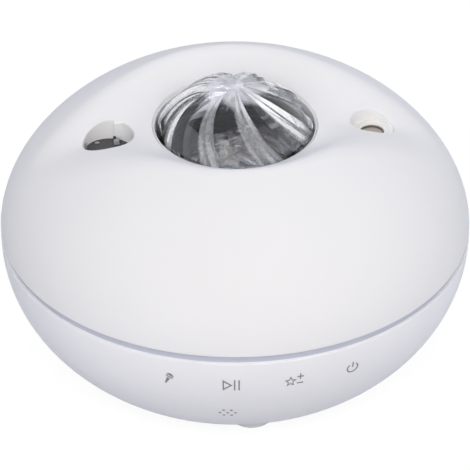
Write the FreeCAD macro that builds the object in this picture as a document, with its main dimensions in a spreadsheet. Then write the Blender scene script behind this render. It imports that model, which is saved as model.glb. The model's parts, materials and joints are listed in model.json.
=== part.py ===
import FreeCAD
import Part
import Sketcher
import math
import os
import re

# Star projector: a flattened egg of two shells on three feet, a clear rippled dome in a
# valley across the crown, and a laser opening at each end of that valley.
# Millimetres, +Z up, front towards -Y, origin on the table under the centre.

doc = FreeCAD.newDocument("StarProjector")
sheet = doc.addObject("Spreadsheet::Sheet", "Sizes")

# Driving sizes, by the piece that carries them
DRIVING = {
    "hull_diameter": 165,
    "foot_height": 2,
    "seam_height": 50,
    "seam_band": 2.7,
    "crown_rise": 55.65,
    "crown_power": 1.853,
    "belly_drop": 61.7,
    "belly_power": 2.03,
    "shell_wall": 2.4,
    "fit_gap": 0.3,
    "running_gap": 0.08,
    "overrun": 1,
    # Valley across the crown, heights above the seam
    "valley_floor": 39.4,
    "valley_radius": 28,
    "valley_flat": 6,
    "trough_bend": 230,
    "apron_slope": 0.65,
    "apron_angle": 41,
    "trough_angle": 8,
    "knee_power": 8,
    # Seam ring
    "seam_inset": 1.1,
    "tongue_wall": 2,
    "tongue_reach": 2,
    # Feet and the three pillars above them
    "foot_radius": 7.5,
    "foot_circle": 49.2,
    "foot_chamfer": 0.5,
    "plug_length": 1.6,
    "pillar_radius": 5.4,
    "access_radius": 3.5,
    "pillar_top": 44,
    "pillar_ledge": 3,
    "post_radius": 4.8,
    "long_screw_radius": 1.5,
    "long_screw_length": 12,
    "long_head_radius": 2.9,
    "long_head_height": 2,
    # Dome
    "dome_top": 105.6,
    "dome_radius": 31,
    "skirt_radius": 27.5,
    "dome_wall": 2.2,
    "dome_flange_radius": 32,
    "dome_flange": 2,
    "collar_low": 85,
    "dome_flutes": 11,
    "flute_depth": 1.1,
    "flute_twist": 48,
    "flute_end": 84,
    # Lamp chamber
    "chamber_flange": 2.5,
    "chamber_radius": 29,
    "chamber_wall": 1.8,
    "gear_shelf": 0.8,
    "gear_floor": 64,
    "chamber_floor": 2.5,
    "tube_radius": 21.5,
    "tube_wall": 2.2,
    "lamp_low": 46,
    "lens_seat": 4,
    "throat_radius": 16.5,
    "ear_circle": 37,
    "ear_radius": 4,
    "boss_radius": 3.4,
    "small_screw_radius": 1,
    "small_screw_length": 6,
    "short_screw_length": 3.6,
    "sink_screw_length": 7.5,
    "clamp_screw_length": 8,
    "small_head_radius": 1.9,
    "small_head_height": 1.4,
    # Ripple disc and its geared rim
    "gear_module": 1,
    "rim_teeth": 50,
    "pinion_teeth": 12,
    "tooth_share": 0.8,
    "tooth_reach": 0.8,
    "tooth_root": 1.15,
    "tooth_slant": 20,
    "tooth_height": 4,
    "rail_radius": 21.7,
    "rail_height": 4,
    "rim_lip": 1.4,
    "rim_web": 1,
    "disc_radius": 22.7,
    "disc_thickness": 2,
    "disc_lip": 0.7,
    "clip_thickness": 1.5,
    "clip_lap": 0.6,
    "clip_wall": 1.2,
    # Drive motor
    "shaft_radius": 1.5,
    "pinion_hub_radius": 3,
    "pinion_hub_height": 2,
    "motor_radius": 8,
    "motor_height": 16,
    "motor_ear_reach": 11.6,
    "motor_ear_radius": 2.6,
    "motor_ear": 1.2,
    "motor_boss_radius": 3,
    "motor_boss_height": 1,
    "motor_bore_depth": 7,
    "lug_half": 15,
    # Lamp
    "lens_flange": 2,
    "lens_lip": 1.4,
    "lens_rise": 8,
    "lens_clip": 1,
    "board_thickness": 1.6,
    "emitter_width": 3.5,
    "emitter_height": 1.2,
    "emitter_pitch": 5,
    "led_tab_reach": 5.8,
    "led_tab_half": 3.5,
    "sink_plate": 3,
    "sink_height": 14.4,
    "fin_count": 7,
    "fin_thickness": 1.6,
    "fin_field": 30,
    # Laser opening on the left, measured along the valley
    "left_reach": 44,
    "left_bore": 8.7,
    "left_collar": 2,
    "left_collar_low": 77,
    "window_thickness": 1.5,
    "window_skirt": 2.7,
    "window_wall": 1.2,
    "window_lap": 0.8,
    "key_start": 2.4,
    "key_width": 4,
    "key_depth": 1.9,
    "frame_plate": 2,
    "frame_outer": 17,
    "frame_inner": 13,
    "frame_front": 25,
    "frame_back": 19.4,
    "frame_wall": 2.5,
    "frame_height": 24,
    "frame_shelf": 3,
    "frame_screw_front": 21,
    "frame_screw_back": 14.8,
    "beam_hole": 6,
    "laser_radius": 4,
    "laser_length": 18,
    "laser_nose_radius": 2.6,
    "laser_nose": 1.5,
    "wheel_offset": 10,
    "wheel_radius": 14,
    "wheel_thickness": 1.5,
    "wheel_drop": 6.5,
    "wheel_hub_radius": 3,
    "wheel_hub_height": 4.5,
    "wheel_windows": 6,
    "wheel_window_radius": 3.4,
    "film_thickness": 0.3,
    "small_motor_radius": 5,
    "small_motor_height": 15,
    "small_shaft_radius": 1,
    # Laser opening on the right
    "right_reach": 48,
    "right_bore": 7.4,
    "right_collar": 2.2,
    "right_collar_low": 78,
    "bezel_top": 84,
    "bezel_step": 0.4,
    "bezel_inset": 1,
    "bezel_throat": 4.4,
    "bezel_lip": 1.2,
    "bezel_flange_radius": 10,
    "bezel_flange": 2,
    "right_lens_radius": 5,
    "right_lens_thickness": 2.4,
    "clamp_thickness": 4,
    "clamp_half": 10,
    "clamp_margin": 3.2,
    "clamp_screw_reach": 15.5,
    "right_laser_radius": 4.6,
    "right_laser_length": 20,
    # Main board
    "board_front": 15,
    "board_inset": 18.5,
    "board_half": 26,
    "board_tab_half": 8,
    "board_tab": 7,
    "board_low": 22,
    "standoff_radius": 3,
    "standoff_half": 22,
    "standoff_front": 19,
    "standoff_inset": 5,
    "lead_radius": 0.8,
    # Charging socket, the usual small reversible kind
    "socket_width": 8.94,
    "socket_height": 3.26,
    "socket_length": 7.3,
    "socket_wall": 0.35,
    "socket_tongue_width": 6.7,
    "socket_tongue": 0.7,
    "socket_back_wall": 1,
    "socket_recess": 0.7,
    "slot_gap": 0.5,
    # Speaker in the belly
    "speaker_place": -12,
    "speaker_radius": 21.8,
    "speaker_land": 3,
    "gasket_thickness": 1,
    "speaker_plate": 1.2,
    "basket_height": 9,
    "basket_neck": 12,
    "basket_wall": 1,
    "magnet_radius": 12,
    "magnet_height": 8,
    "coil_radius": 5.6,
    "coil_wall": 0.5,
    "coil_gap": 0.4,
    "coil_length": 5,
    "cone_radius": 15.6,
    "cone_rise": 5,
    "cone_wall": 0.5,
    "cone_travel": 0.8,
    "speaker_ear_circle": 25.6,
    "grille_pitch": 4.2,
    "grille_hole": 1.1,
    "grille_reach": 15,
    # Touch strip and microphone behind the front of the belly
    "touch_high": 44,
    "touch_low": 31,
    "touch_angle": 62,
    "touch_thickness": 1,
    "mic_height": 21.1,
    "mic_angle": -8.5,
    "mic_pitch": 2.6,
    "mic_hole": 0.55,
    "mic_radius": 3,
    "mic_length": 3,
    "mic_cup_wall": 1.4,
    "mic_cup_length": 4,
}

# Sizes that follow from the driving ones
FOLLOWING = {
    "hull_radius": "hull_diameter / 2",
    "seam_low": "seam_height - seam_band",
    "floor_high": "foot_height + shell_wall",
    "ring_radius": "hull_radius - seam_inset",
    "tongue_radius": "hull_radius - shell_wall - fit_gap",
    "plug_radius": "access_radius - fit_gap / 2",
    "ledge_low": "pillar_top - pillar_ledge",
    "dome_centre": "dome_top - dome_radius",
    "skirt_high": "dome_centre + sqrt(dome_radius ^ 2 - skirt_radius ^ 2)",
    "dome_hole": "skirt_radius + fit_gap",
    "dome_bore": "skirt_radius - dome_wall",
    "dome_flange_low": "collar_low - dome_flange",
    "chamber_flange_low": "dome_flange_low - chamber_flange",
    "chamber_bore": "chamber_radius - chamber_wall",
    "chamber_shelf_radius": "chamber_bore - gear_shelf",
    "chamber_floor_low": "gear_floor - chamber_floor",
    "tube_bore": "tube_radius - tube_wall",
    "rail_high": "gear_floor + rail_height",
    "lens_seat_height": "lamp_low + lens_seat",
    "rim_pitch_radius": "gear_module * rim_teeth / 2",
    "rim_root_radius": "rim_pitch_radius - tooth_root * gear_module",
    "rim_tip_radius": "rim_pitch_radius + tooth_reach * gear_module",
    "pinion_pitch_radius": "gear_module * pinion_teeth / 2",
    "pinion_root_radius": "pinion_pitch_radius - tooth_root * gear_module",
    "pinion_tip_radius": "pinion_pitch_radius + tooth_reach * gear_module",
    "drive_place": "rim_pitch_radius + pinion_pitch_radius",
    "rim_low": "gear_floor + fit_gap",
    "rim_bore": "rail_radius + running_gap",
    "rim_web_low": "rail_high + fit_gap",
    "rim_web_high": "rim_web_low + rim_web",
    "disc_high": "rim_web_high + disc_thickness",
    "rim_high": "disc_high + disc_lip",
    "clip_low": "rim_high + fit_gap",
    "clip_high": "clip_low + clip_thickness",
    "clip_bore": "rim_root_radius - clip_lap",
    "sink_high": "lamp_low - board_thickness",
    "sink_low": "sink_high - sink_height",
    "sink_screw_circle": "(throat_radius + tube_radius) / 2",
    "window_high": "left_collar_low + window_skirt + window_thickness",
    "frame_high": "left_collar_low",
    "frame_plate_low": "frame_high - frame_plate",
    "frame_low": "frame_high - frame_height",
    "wheel_low": "frame_plate_low - wheel_drop",
    "laser_top": "wheel_low - wheel_hub_radius",
    "small_motor_high": "frame_low + frame_shelf + frame_plate",
    "right_flange_low": "right_collar_low - bezel_flange",
    "right_lens_high": "bezel_top - 2 * bezel_step - bezel_lip",
    "right_lens_low": "right_lens_high - right_lens_thickness",
    "clamp_low": "right_flange_low - clamp_thickness",
    "board_back": "hull_radius - board_inset",
    "board_tab_back": "board_back + board_tab",
    "standoff_back": "board_back - standoff_inset",
    "board_high": "board_low + board_thickness",
    "socket_height_middle": "board_high + socket_height / 2",
    "belly_inner_radius": "hull_radius - shell_wall",
    "belly_inner_drop": "belly_drop - shell_wall",
    "socket_wall_radius": "hull_radius * (1 - ((seam_low - socket_height_middle) / belly_drop)"
                          " ^ belly_power) ^ (1 / belly_power)",
    "socket_mouth": "socket_wall_radius - socket_recess",
    "mic_wall_radius": "hull_radius * (1 - ((seam_low - mic_height) / belly_drop)"
                       " ^ belly_power) ^ (1 / belly_power)",
    "touch_high_radius": "belly_inner_radius * (1 - ((seam_low - touch_high) / belly_inner_drop)"
                         " ^ belly_power) ^ (1 / belly_power) - fit_gap",
    "touch_low_radius": "belly_inner_radius * (1 - ((seam_low - touch_low) / belly_inner_drop)"
                        " ^ belly_power) ^ (1 / belly_power) - fit_gap",
    "gasket_high": "floor_high + gasket_thickness",
    "basket_low": "gasket_high",
    "basket_rim_high": "basket_low + speaker_plate",
    "basket_high": "basket_low + basket_height",
    "magnet_high": "basket_high + magnet_height",
    "speaker_mouth": "speaker_radius - speaker_land",
    "cone_low": "basket_low + cone_travel + fit_gap",
    "cone_high": "cone_low + cone_rise",
    "magnet_bore": "coil_radius + coil_gap",
    "pole_radius": "coil_radius - coil_wall - coil_gap",
    "coil_high": "cone_high + coil_length",
}

KNOWN_WORDS = ("sqrt", "sin", "cos", "tan", "pi")


def fill_sheet():
    rows = [(name, str(size)) for name, size in DRIVING.items()]
    rows += [(name, "=" + formula) for name, formula in FOLLOWING.items()]
    for row, (name, content) in enumerate(rows, start=1):
        sheet.set("A%d" % row, name)
        sheet.set("B%d" % row, content)
        sheet.setAlias("B%d" % row, name)
    doc.recompute()


def cells(formula):
    # Names in a formula become references to the sheet
    def refer(match):
        word = match.group(0)
        return word if word in KNOWN_WORDS else "Sizes." + word
    return re.sub(r"[a-z][a-z_]+", refer, formula)


def size(formula):
    return float(sheet.evalExpression(cells(formula)))


def bind(thing, target, formula):
    thing.setExpression(target, cells(formula))


def place(thing, across="0", deep="0", high="0"):
    bind(thing, ".Placement.Base.x", across)
    bind(thing, ".Placement.Base.y", deep)
    bind(thing, ".Placement.Base.z", high)
    return thing


# Sketches whose corners are pinned to the sheet


def sketch_on(body, role, name):
    sketch = body.newObject("Sketcher::SketchObject", name)
    plane = [feature for feature in body.Origin.OriginFeatures if feature.Role == role][0]
    sketch.AttachmentSupport = [(plane, "")]
    sketch.MapMode = "FlatFace"
    return sketch


def pin(sketch, edge, end, across, up):
    for kind, formula, axis in (("DistanceX", across, -2), ("DistanceY", up, -1)):
        if formula == "0":
            sketch.addConstraint(Sketcher.Constraint("PointOnObject", edge, end, axis))
            continue
        rule = Sketcher.Constraint(kind, -1, 1, edge, end, size(formula))
        number = sketch.addConstraint(rule)
        bind(sketch, "Constraints[%d]" % number, formula)


def axis_arc(start, end):
    # Arc between two points, centred on the turning axis
    rise = end.y - start.y
    centre = (end.Length ** 2 - start.Length ** 2) / (2 * rise)
    middle = FreeCAD.Vector(0, centre, 0)
    circle = Part.Circle(middle, FreeCAD.Vector(0, 0, 1), (start - middle).Length)
    angles = [math.atan2(point.y - centre, point.x) for point in (start, end)]
    forward = angles[0] < angles[1]
    return Part.ArcOfCircle(circle, min(angles), max(angles)), forward


def outline(sketch, corners, arcs=()):
    points = [FreeCAD.Vector(size(across), size(up), 0) for across, up in corners]
    ends = []
    first = sketch.GeometryCount
    for number, start in enumerate(points):
        end = points[(number + 1) % len(points)]
        if number in arcs:
            arc, forward = axis_arc(start, end)
            edge = sketch.addGeometry(arc, False)
            sketch.addConstraint(Sketcher.Constraint("PointOnObject", edge, 3, -2))
            ends.append((1, 2) if forward else (2, 1))
        else:
            sketch.addGeometry(Part.LineSegment(start, end), False)
            ends.append((1, 2))
    for number, (across, up) in enumerate(corners):
        following = (number + 1) % len(corners)
        joint = Sketcher.Constraint("Coincident", first + number, ends[number][1],
                                    first + following, ends[following][0])
        sketch.addConstraint(joint)
        pin(sketch, first + number, ends[number][0], across, up)


def circle(sketch, radius, across="0", up="0"):
    middle = FreeCAD.Vector(size(across), size(up), 0)
    shape = Part.Circle(middle, FreeCAD.Vector(0, 0, 1), size(radius))
    edge = sketch.addGeometry(shape, False)
    number = sketch.addConstraint(Sketcher.Constraint("Radius", edge, size(radius)))
    bind(sketch, "Constraints[%d]" % number, radius)
    pin(sketch, edge, 3, across, up)


# Pieces turned about their own upright axis, and pieces cut from plate


def turned(label, corners, across="0", deep="0", high="0", arcs=()):
    body = doc.addObject("PartDesign::Body", label)
    sketch = sketch_on(body, "XZ_Plane", label + "_outline")
    outline(sketch, corners, arcs)
    turn = body.newObject("PartDesign::Revolution", label + "_turn")
    turn.Profile = sketch
    turn.ReferenceAxis = (sketch, ["V_Axis"])
    turn.Angle = FULL_TURN
    sketch.Visibility = False
    return place(body, across, deep, high)


def plate(label, draw, thickness, across="0", deep="0", high="0"):
    body = doc.addObject("PartDesign::Body", label)
    sketch = sketch_on(body, "XY_Plane", label + "_outline")
    draw(sketch)
    pad = body.newObject("PartDesign::Pad", label + "_pad")
    pad.Profile = sketch
    bind(pad, "Length", thickness)
    return place(body, across, deep, high)


def through_holes(body, circles):
    sketch = sketch_on(body, "XY_Plane", body.Name + "_holes")
    for radius, across, up in circles:
        circle(sketch, radius, across, up)
    pocket = body.newObject("PartDesign::Pocket", body.Name + "_drilled")
    pocket.Profile = sketch
    pocket.Type = "ThroughAll"
    pocket.Midplane = True
    return body


def block_corners(half_width, front, back):
    return [("-(%s)" % half_width, front), (half_width, front),
            (half_width, back), ("-(%s)" % half_width, back)]


# Primitives and booleans


def rod(name, radius, low, high, across="0", deep="0"):
    thing = doc.addObject("Part::Cylinder", name)
    bind(thing, "Radius", radius)
    bind(thing, "Height", "(%s) - (%s)" % (high, low))
    return place(thing, across, deep, low)


def block(name, left, right, front, back, low, high):
    thing = doc.addObject("Part::Box", name)
    bind(thing, "Length", "(%s) - (%s)" % (right, left))
    bind(thing, "Width", "(%s) - (%s)" % (back, front))
    bind(thing, "Height", "(%s) - (%s)" % (high, low))
    return place(thing, left, front, low)


def fused(label, things):
    thing = doc.addObject("Part::MultiFuse", label)
    thing.Shapes = things
    thing.Refine = True
    return thing


def cut(label, base, tool):
    thing = doc.addObject("Part::Cut", label)
    thing.Base = base
    thing.Tool = tool
    return thing


def shared(label, base, tool):
    thing = doc.addObject("Part::Common", label)
    thing.Base = base
    thing.Tool = tool
    return thing


def group(label, things):
    thing = doc.addObject("Part::Compound", label)
    thing.Links = things
    return thing


def formed(label, shape):
    thing = doc.addObject("Part::Feature", label)
    thing.Shape = shape
    return thing


def around(circle_size, angle):
    return "%s * cos(%g)" % (circle_size, angle), "%s * sin(%g)" % (circle_size, angle)


PILLAR_ANGLES = (-90, 30, 150)
EAR_ANGLES = (45, 135, 225, 315)
SPEAKER_EAR_ANGLES = (90, 210, 330)
FULL_TURN = 360

# How many spans the free curves are drawn through
HULL_SPANS = 15
VALLEY_SPANS = 44
FLUTE_SPANS = 6


# Hull curves: each half is a superellipse turned about Z


def bow(radius, rise, power, height, end_share=1):
    # Points from the rim towards the pole, at heights from the seam outwards
    points = []
    for number in range(HULL_SPANS + 1):
        angle = math.asin(end_share ** (power / 2)) * number / HULL_SPANS
        across = radius * max(math.cos(angle), 0) ** (2 / power)
        up = abs(rise) * math.sin(angle) ** (2 / power)
        points.append(FreeCAD.Vector(across, 0, height + math.copysign(up, rise)))
    if end_share == 1:
        points[-1].x = 0
    return points


def turned_bow(points, floor):
    # Solid between the curve, the axis and the level that the curve starts from
    curve = Part.BSplineCurve()
    if points[-1].x == 0:
        up = math.copysign(1, points[-1].z - points[0].z)
        curve.interpolate(Points=points, InitialTangent=FreeCAD.Vector(0, 0, up),
                          FinalTangent=FreeCAD.Vector(-1, 0, 0))
    else:
        curve.interpolate(Points=points)
    start = points[0]
    end = points[-1]
    foot = FreeCAD.Vector(start.x, 0, floor)
    foot_axis = FreeCAD.Vector(0, 0, floor)
    end_axis = FreeCAD.Vector(0, 0, end.z)
    edges = [curve.toShape()]
    if end.x > 0:
        edges.append(Part.makeLine(end, end_axis))
    edges.append(Part.makeLine(end_axis, foot_axis))
    edges.append(Part.makeLine(foot_axis, foot))
    if (foot - start).Length > 0:
        edges.append(Part.makeLine(foot, start))
    face = Part.Face(Part.Wire(edges))
    return face.revolve(FreeCAD.Vector(0, 0, 0), FreeCAD.Vector(0, 0, 1), FULL_TURN)


def valley_height(across, deep):
    # Level of the valley above the table: a trough along X that bends down towards its
    # ends, and an apron that climbs away from the dome to the front and the back.
    start = size_of["valley_radius"]
    reach = max(math.hypot(across, deep), start - size_of["valley_flat"])
    angle = math.degrees(math.atan2(abs(deep), abs(across)))
    bend = size_of["trough_angle"]
    ramp = (math.hypot(angle, bend) - bend) / size_of["apron_angle"]
    knee = size_of["knee_power"]
    ramp = ramp / (1 + ramp ** knee) ** (1 / knee)
    trough = -(reach ** 2 - start ** 2) / (2 * size_of["trough_bend"])
    apron = size_of["apron_slope"] * (reach - start)
    floor = size_of["seam_height"] + size_of["valley_floor"]
    return floor + (1 - ramp) * trough + ramp * apron


def valley_tool(drop):
    # Everything above the valley, its surface lowered by the drop
    half = size_of["hull_radius"] + 2 * size_of["shell_wall"]
    places = [half * (2 * number / VALLEY_SPANS - 1) for number in range(VALLEY_SPANS + 1)]
    grid = [[FreeCAD.Vector(across, deep, valley_height(across, deep) - drop)
             for deep in places] for across in places]
    surface = Part.BSplineSurface()
    surface.interpolate(grid)
    height = size_of["crown_rise"] + 2 * size_of["valley_radius"]
    return surface.toShape().extrude(FreeCAD.Vector(0, 0, height))


def crown_blank(wall, below):
    # Crown of the hull with the valley taken out, drawn in by a wall and let down below
    radius = size_of["hull_radius"] - wall
    rise = size_of["crown_rise"] - wall
    height = size_of["seam_height"]
    points = bow(radius, rise, size_of["crown_power"], height)
    tilt = math.hypot(1, size_of["apron_slope"])
    return turned_bow(points, height - below).cut(valley_tool(wall * tilt))


def belly_blank(wall, low):
    # Belly of the hull down to a flat base, drawn in by a wall
    radius = size_of["hull_radius"] - wall
    drop = size_of["belly_drop"] - wall
    height = size_of["seam_low"]
    share = (height - low) / drop
    points = bow(radius, -drop, size_of["belly_power"], height, end_share=share)
    return turned_bow(points, height)


# Shells


def make_top_shell():
    wall = size_of["shell_wall"]
    below = size_of["seam_height"] - size_of["pillar_top"]
    crown = formed("crown_blank", crown_blank(0, 0))
    core = formed("crown_core", crown_blank(wall, 0))
    reach = formed("crown_reach", crown_blank(0, below))
    kept = [rod("dome_collar", "dome_flange_radius", "collar_low", "dome_top"),
            rod("left_collar_wall", "left_bore + left_collar", "left_collar_low", "dome_top",
                "-left_reach"),
            rod("right_collar_wall", "right_bore + right_collar", "right_collar_low",
                "dome_top", "right_reach")]
    for number, angle in enumerate(PILLAR_ANGLES, start=1):
        across, deep = around("foot_circle", angle)
        kept.append(rod("post_%d" % number, "post_radius", "pillar_top", "dome_top",
                        across, deep))
    for number, (across, deep, low) in enumerate(boss_places(), start=1):
        kept.append(rod("boss_%d" % number, "boss_radius", low, "dome_top", across, deep))
    inside = shared("crown_inside", fused("crown_bosses", kept), reach)
    skin = cut("crown_skin", crown, core)
    whole = fused("crown_whole", [skin, inside])
    holes = [rod("dome_opening", "dome_hole", "pillar_top", "dome_top + overrun"),
             left_opening(),
             rod("left_rebate", "left_bore + window_lap", "left_collar_low - overrun",
                 "window_high", "-left_reach"),
             rod("right_opening", "right_bore", "right_collar_low - overrun",
                 "dome_top", "right_reach")]
    for number, angle in enumerate(PILLAR_ANGLES, start=1):
        across, deep = around("foot_circle", angle)
        holes.append(rod("post_pilot_%d" % number, "long_screw_radius",
                         "pillar_top - overrun", "pillar_top + long_screw_length",
                         across, deep))
    for number, (across, deep, low) in enumerate(boss_places(), start=1):
        holes.append(rod("boss_pilot_%d" % number, "small_screw_radius", low + " - overrun",
                         low + " + small_screw_length", across, deep))
    return cut("top_shell", whole, fused("crown_holes", holes))


def left_opening():
    # Round bore with a moulded key left standing on its back wall
    bore = rod("left_bore_rod", "left_bore", "left_collar_low - overrun", "dome_top",
               "-left_reach")
    key = block("left_key", "-left_reach + key_start", "-left_reach + key_start + key_width",
                "left_bore - key_depth", "left_bore + overrun", "window_high", "dome_top")
    return cut("left_opening", bore, key)


def boss_places():
    places = []
    for angle in EAR_ANGLES:
        across, deep = around("ear_circle", angle)
        places.append((across, deep, "dome_flange_low"))
    places.append(("-left_reach", "-frame_screw_front", "left_collar_low"))
    places.append(("-left_reach", "frame_screw_back", "left_collar_low"))
    for sign in ("-", ""):
        places.append(("right_reach", sign + "clamp_screw_reach", "right_flange_low"))
    return places


def hexagon_places(pitch, reach):
    # Centres of a honeycomb of holes inside a circle
    places = []
    rows = int(reach / pitch) + 1
    for row in range(-rows, rows + 1):
        for column in range(-2 * rows, 2 * rows + 1):
            across = pitch * (column + row / 2)
            deep = pitch * row * math.sqrt(3) / 2
            if math.hypot(across, deep) <= reach:
                places.append(FreeCAD.Vector(across, deep, 0))
    return places


def drilled_field(label, places, radius, low, high):
    rods = []
    for middle in places:
        base = middle + FreeCAD.Vector(0, 0, low)
        rods.append(Part.makeCylinder(radius, high - low, base))
    return formed(label, Part.Compound(rods))


def mic_placement(inset):
    # Frame on the belly wall over the microphone, its Z along the outward normal
    angle = math.radians(size_of["mic_angle"])
    radius = size_of["mic_wall_radius"]
    drop = size_of["seam_low"] - size_of["mic_height"]
    power = size_of["belly_power"]
    outward = radius ** (power - 1) / size_of["hull_radius"] ** power
    downward = drop ** (power - 1) / size_of["belly_drop"] ** power
    tilt = math.atan2(downward, outward)
    normal = FreeCAD.Vector(math.sin(angle) * math.cos(tilt),
                            -math.cos(angle) * math.cos(tilt), -math.sin(tilt))
    level = FreeCAD.Vector(math.cos(angle), math.sin(angle), 0)
    turn = FreeCAD.Rotation(level, normal.cross(level), normal, "ZXY")
    point = FreeCAD.Vector(radius * math.sin(angle), -radius * math.cos(angle),
                           size_of["mic_height"])
    return FreeCAD.Placement(point - normal * inset, turn)


def make_bottom_shell():
    wall = size_of["shell_wall"]
    belly = formed("belly_blank", belly_blank(0, size_of["foot_height"]))
    core = formed("belly_core", belly_blank(wall, size_of["floor_high"]))
    kept = []
    for number, angle in enumerate(PILLAR_ANGLES, start=1):
        across, deep = around("foot_circle", angle)
        kept.append(rod("pillar_%d" % number, "pillar_radius", "foot_height", "pillar_top",
                        across, deep))
    for number, (across, deep) in enumerate(standoff_places(), start=1):
        kept.append(rod("standoff_%d" % number, "standoff_radius", "foot_height",
                        "board_low", across, deep))
    for number, (across, deep) in enumerate(speaker_ear_places(), start=1):
        kept.append(rod("speaker_boss_%d" % number, "boss_radius", "foot_height",
                        "gasket_high", across, deep))
    cup = formed("mic_cup", Part.makeCylinder(size_of["mic_radius"] + size_of["mic_cup_wall"],
                                              wall + size_of["mic_cup_length"]))
    cup.Placement = mic_placement(wall + size_of["mic_cup_length"])
    inside = shared("belly_inside", fused("belly_bosses", kept + [cup]), belly)
    skin = cut("belly_skin", belly, core)
    whole = fused("belly_whole", [skin, inside])
    holes = []
    for number, angle in enumerate(PILLAR_ANGLES, start=1):
        across, deep = around("foot_circle", angle)
        holes.append(rod("access_%d" % number, "access_radius", "foot_height - overrun",
                         "ledge_low", across, deep))
        holes.append(rod("pillar_hole_%d" % number, "long_screw_radius + fit_gap / 2",
                         "ledge_low - overrun", "pillar_top + overrun", across, deep))
    for number, (across, deep) in enumerate(standoff_places(), start=1):
        holes.append(rod("standoff_pilot_%d" % number, "small_screw_radius",
                         "board_high - small_screw_length", "board_low + overrun",
                         across, deep))
    for number, (across, deep) in enumerate(speaker_ear_places(), start=1):
        holes.append(rod("speaker_pilot_%d" % number, "small_screw_radius",
                         "basket_rim_high - short_screw_length",
                         "gasket_high + overrun", across, deep))
    middle = FreeCAD.Vector(0, size_of["speaker_place"], 0)
    field = [point + middle for point in hexagon_places(size_of["grille_pitch"],
                                                        size_of["grille_reach"])]
    holes.append(drilled_field("grille_holes", field, size_of["grille_hole"],
                               size_of["foot_height"] - size_of["overrun"],
                               size_of["floor_high"] + size_of["overrun"]))
    mic_field = hexagon_places(size_of["mic_pitch"], size_of["mic_pitch"])
    mic_holes = drilled_field("mic_holes", mic_field, size_of["mic_hole"],
                              -2 * wall, size_of["overrun"])
    mic_holes.Placement = mic_placement(0)
    mic_bore = formed("mic_bore", Part.makeCylinder(size_of["mic_radius"] + size_of["fit_gap"],
                                                    size_of["mic_cup_length"] + wall))
    mic_bore.Placement = mic_placement(size_of["mic_cup_length"] + 2 * wall)
    slot = formed("socket_slot", rounded_bar(size_of["socket_width"] + 2 * size_of["slot_gap"],
                                             size_of["socket_height"] + 2 * size_of["slot_gap"],
                                             4 * wall))
    slot.Placement = FreeCAD.Placement(
        FreeCAD.Vector(0, size_of["socket_wall_radius"] - 3 * wall,
                       size_of["socket_height_middle"]), FreeCAD.Rotation())
    holes += [mic_holes, mic_bore, slot]
    return cut("bottom_shell", whole, fused("belly_holes", holes))


def rounded_bar(width, height, length):
    # Bar along Y with a flat-sided round section, centred on its own axis
    radius = height / 2
    straight = width / 2 - radius
    up = FreeCAD.Vector(0, 0, radius)
    left = FreeCAD.Vector(-straight, 0, 0)
    right = FreeCAD.Vector(straight, 0, 0)
    side = FreeCAD.Vector(radius, 0, 0)
    edges = [Part.makeLine(left + up, right + up),
             Part.Arc(right + up, right + side, right - up).toShape(),
             Part.makeLine(right - up, left - up),
             Part.Arc(left - up, left - side, left + up).toShape()]
    return Part.Face(Part.Wire(edges)).extrude(FreeCAD.Vector(0, length, 0))


def standoff_places():
    return [(sign + "standoff_half", deep) for deep in ("standoff_front", "standoff_back")
            for sign in ("-", "")]


def speaker_ear_places():
    places = []
    for angle in SPEAKER_EAR_ANGLES:
        across, deep = around("speaker_ear_circle", angle)
        places.append((across, "%s + speaker_place" % deep))
    return places


def make_seam_ring():
    inner = "tongue_radius - tongue_wall"
    low = "seam_low - tongue_reach"
    high = "seam_height + tongue_reach"
    return turned("seam_ring", [(inner, low), ("tongue_radius", low),
                                ("tongue_radius", "seam_low"), ("ring_radius", "seam_low"),
                                ("ring_radius", "seam_height"),
                                ("tongue_radius", "seam_height"), ("tongue_radius", high),
                                (inner, high)])


# Feet and screws


def make_foot(label, angle):
    across, deep = around("foot_circle", angle)
    high = "foot_height + plug_length"
    return turned(label, [("0", "0"), ("foot_radius - foot_chamfer", "0"),
                          ("foot_radius", "foot_chamfer"), ("foot_radius", "foot_height"),
                          ("plug_radius", "foot_height"), ("plug_radius", high),
                          ("0", high)], across, deep)


def screw(name, kind, length, across, deep, seat, upward):
    # Head under or over its seat, shank the other way
    sign = "" if upward else "-"
    other = "-" if upward else ""
    corners = [("0", other + kind + "_head_height"),
               (kind + "_head_radius", other + kind + "_head_height"),
               (kind + "_head_radius", "0"), (kind + "_screw_radius", "0"),
               (kind + "_screw_radius", sign + length), ("0", sign + length)]
    return turned(name, corners, across, deep, seat)


def screws(label, kind, length, places, upward=True):
    made = [screw("%s_%d" % (label, number), kind, length, across, deep, seat, upward)
            for number, (across, deep, seat) in enumerate(places, start=1)]
    return group(label, made)


# Dome


def make_dome():
    # Shell of a ball with a straight skirt and a flange, its cap cut into swirling flutes
    blank = turned("dome_blank", [("dome_bore", "dome_flange_low"),
                                  ("dome_flange_radius", "dome_flange_low"),
                                  ("dome_flange_radius", "collar_low"),
                                  ("skirt_radius", "collar_low"),
                                  ("skirt_radius", "skirt_high"), ("0", "dome_top"),
                                  ("0", "dome_top - dome_wall"),
                                  ("dome_bore", "skirt_high - dome_wall")], arcs=(4, 6))
    flutes = formed("dome_flutes", Part.Compound(dome_flute_tools()))
    return cut("ripple_dome", blank, flutes)


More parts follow.
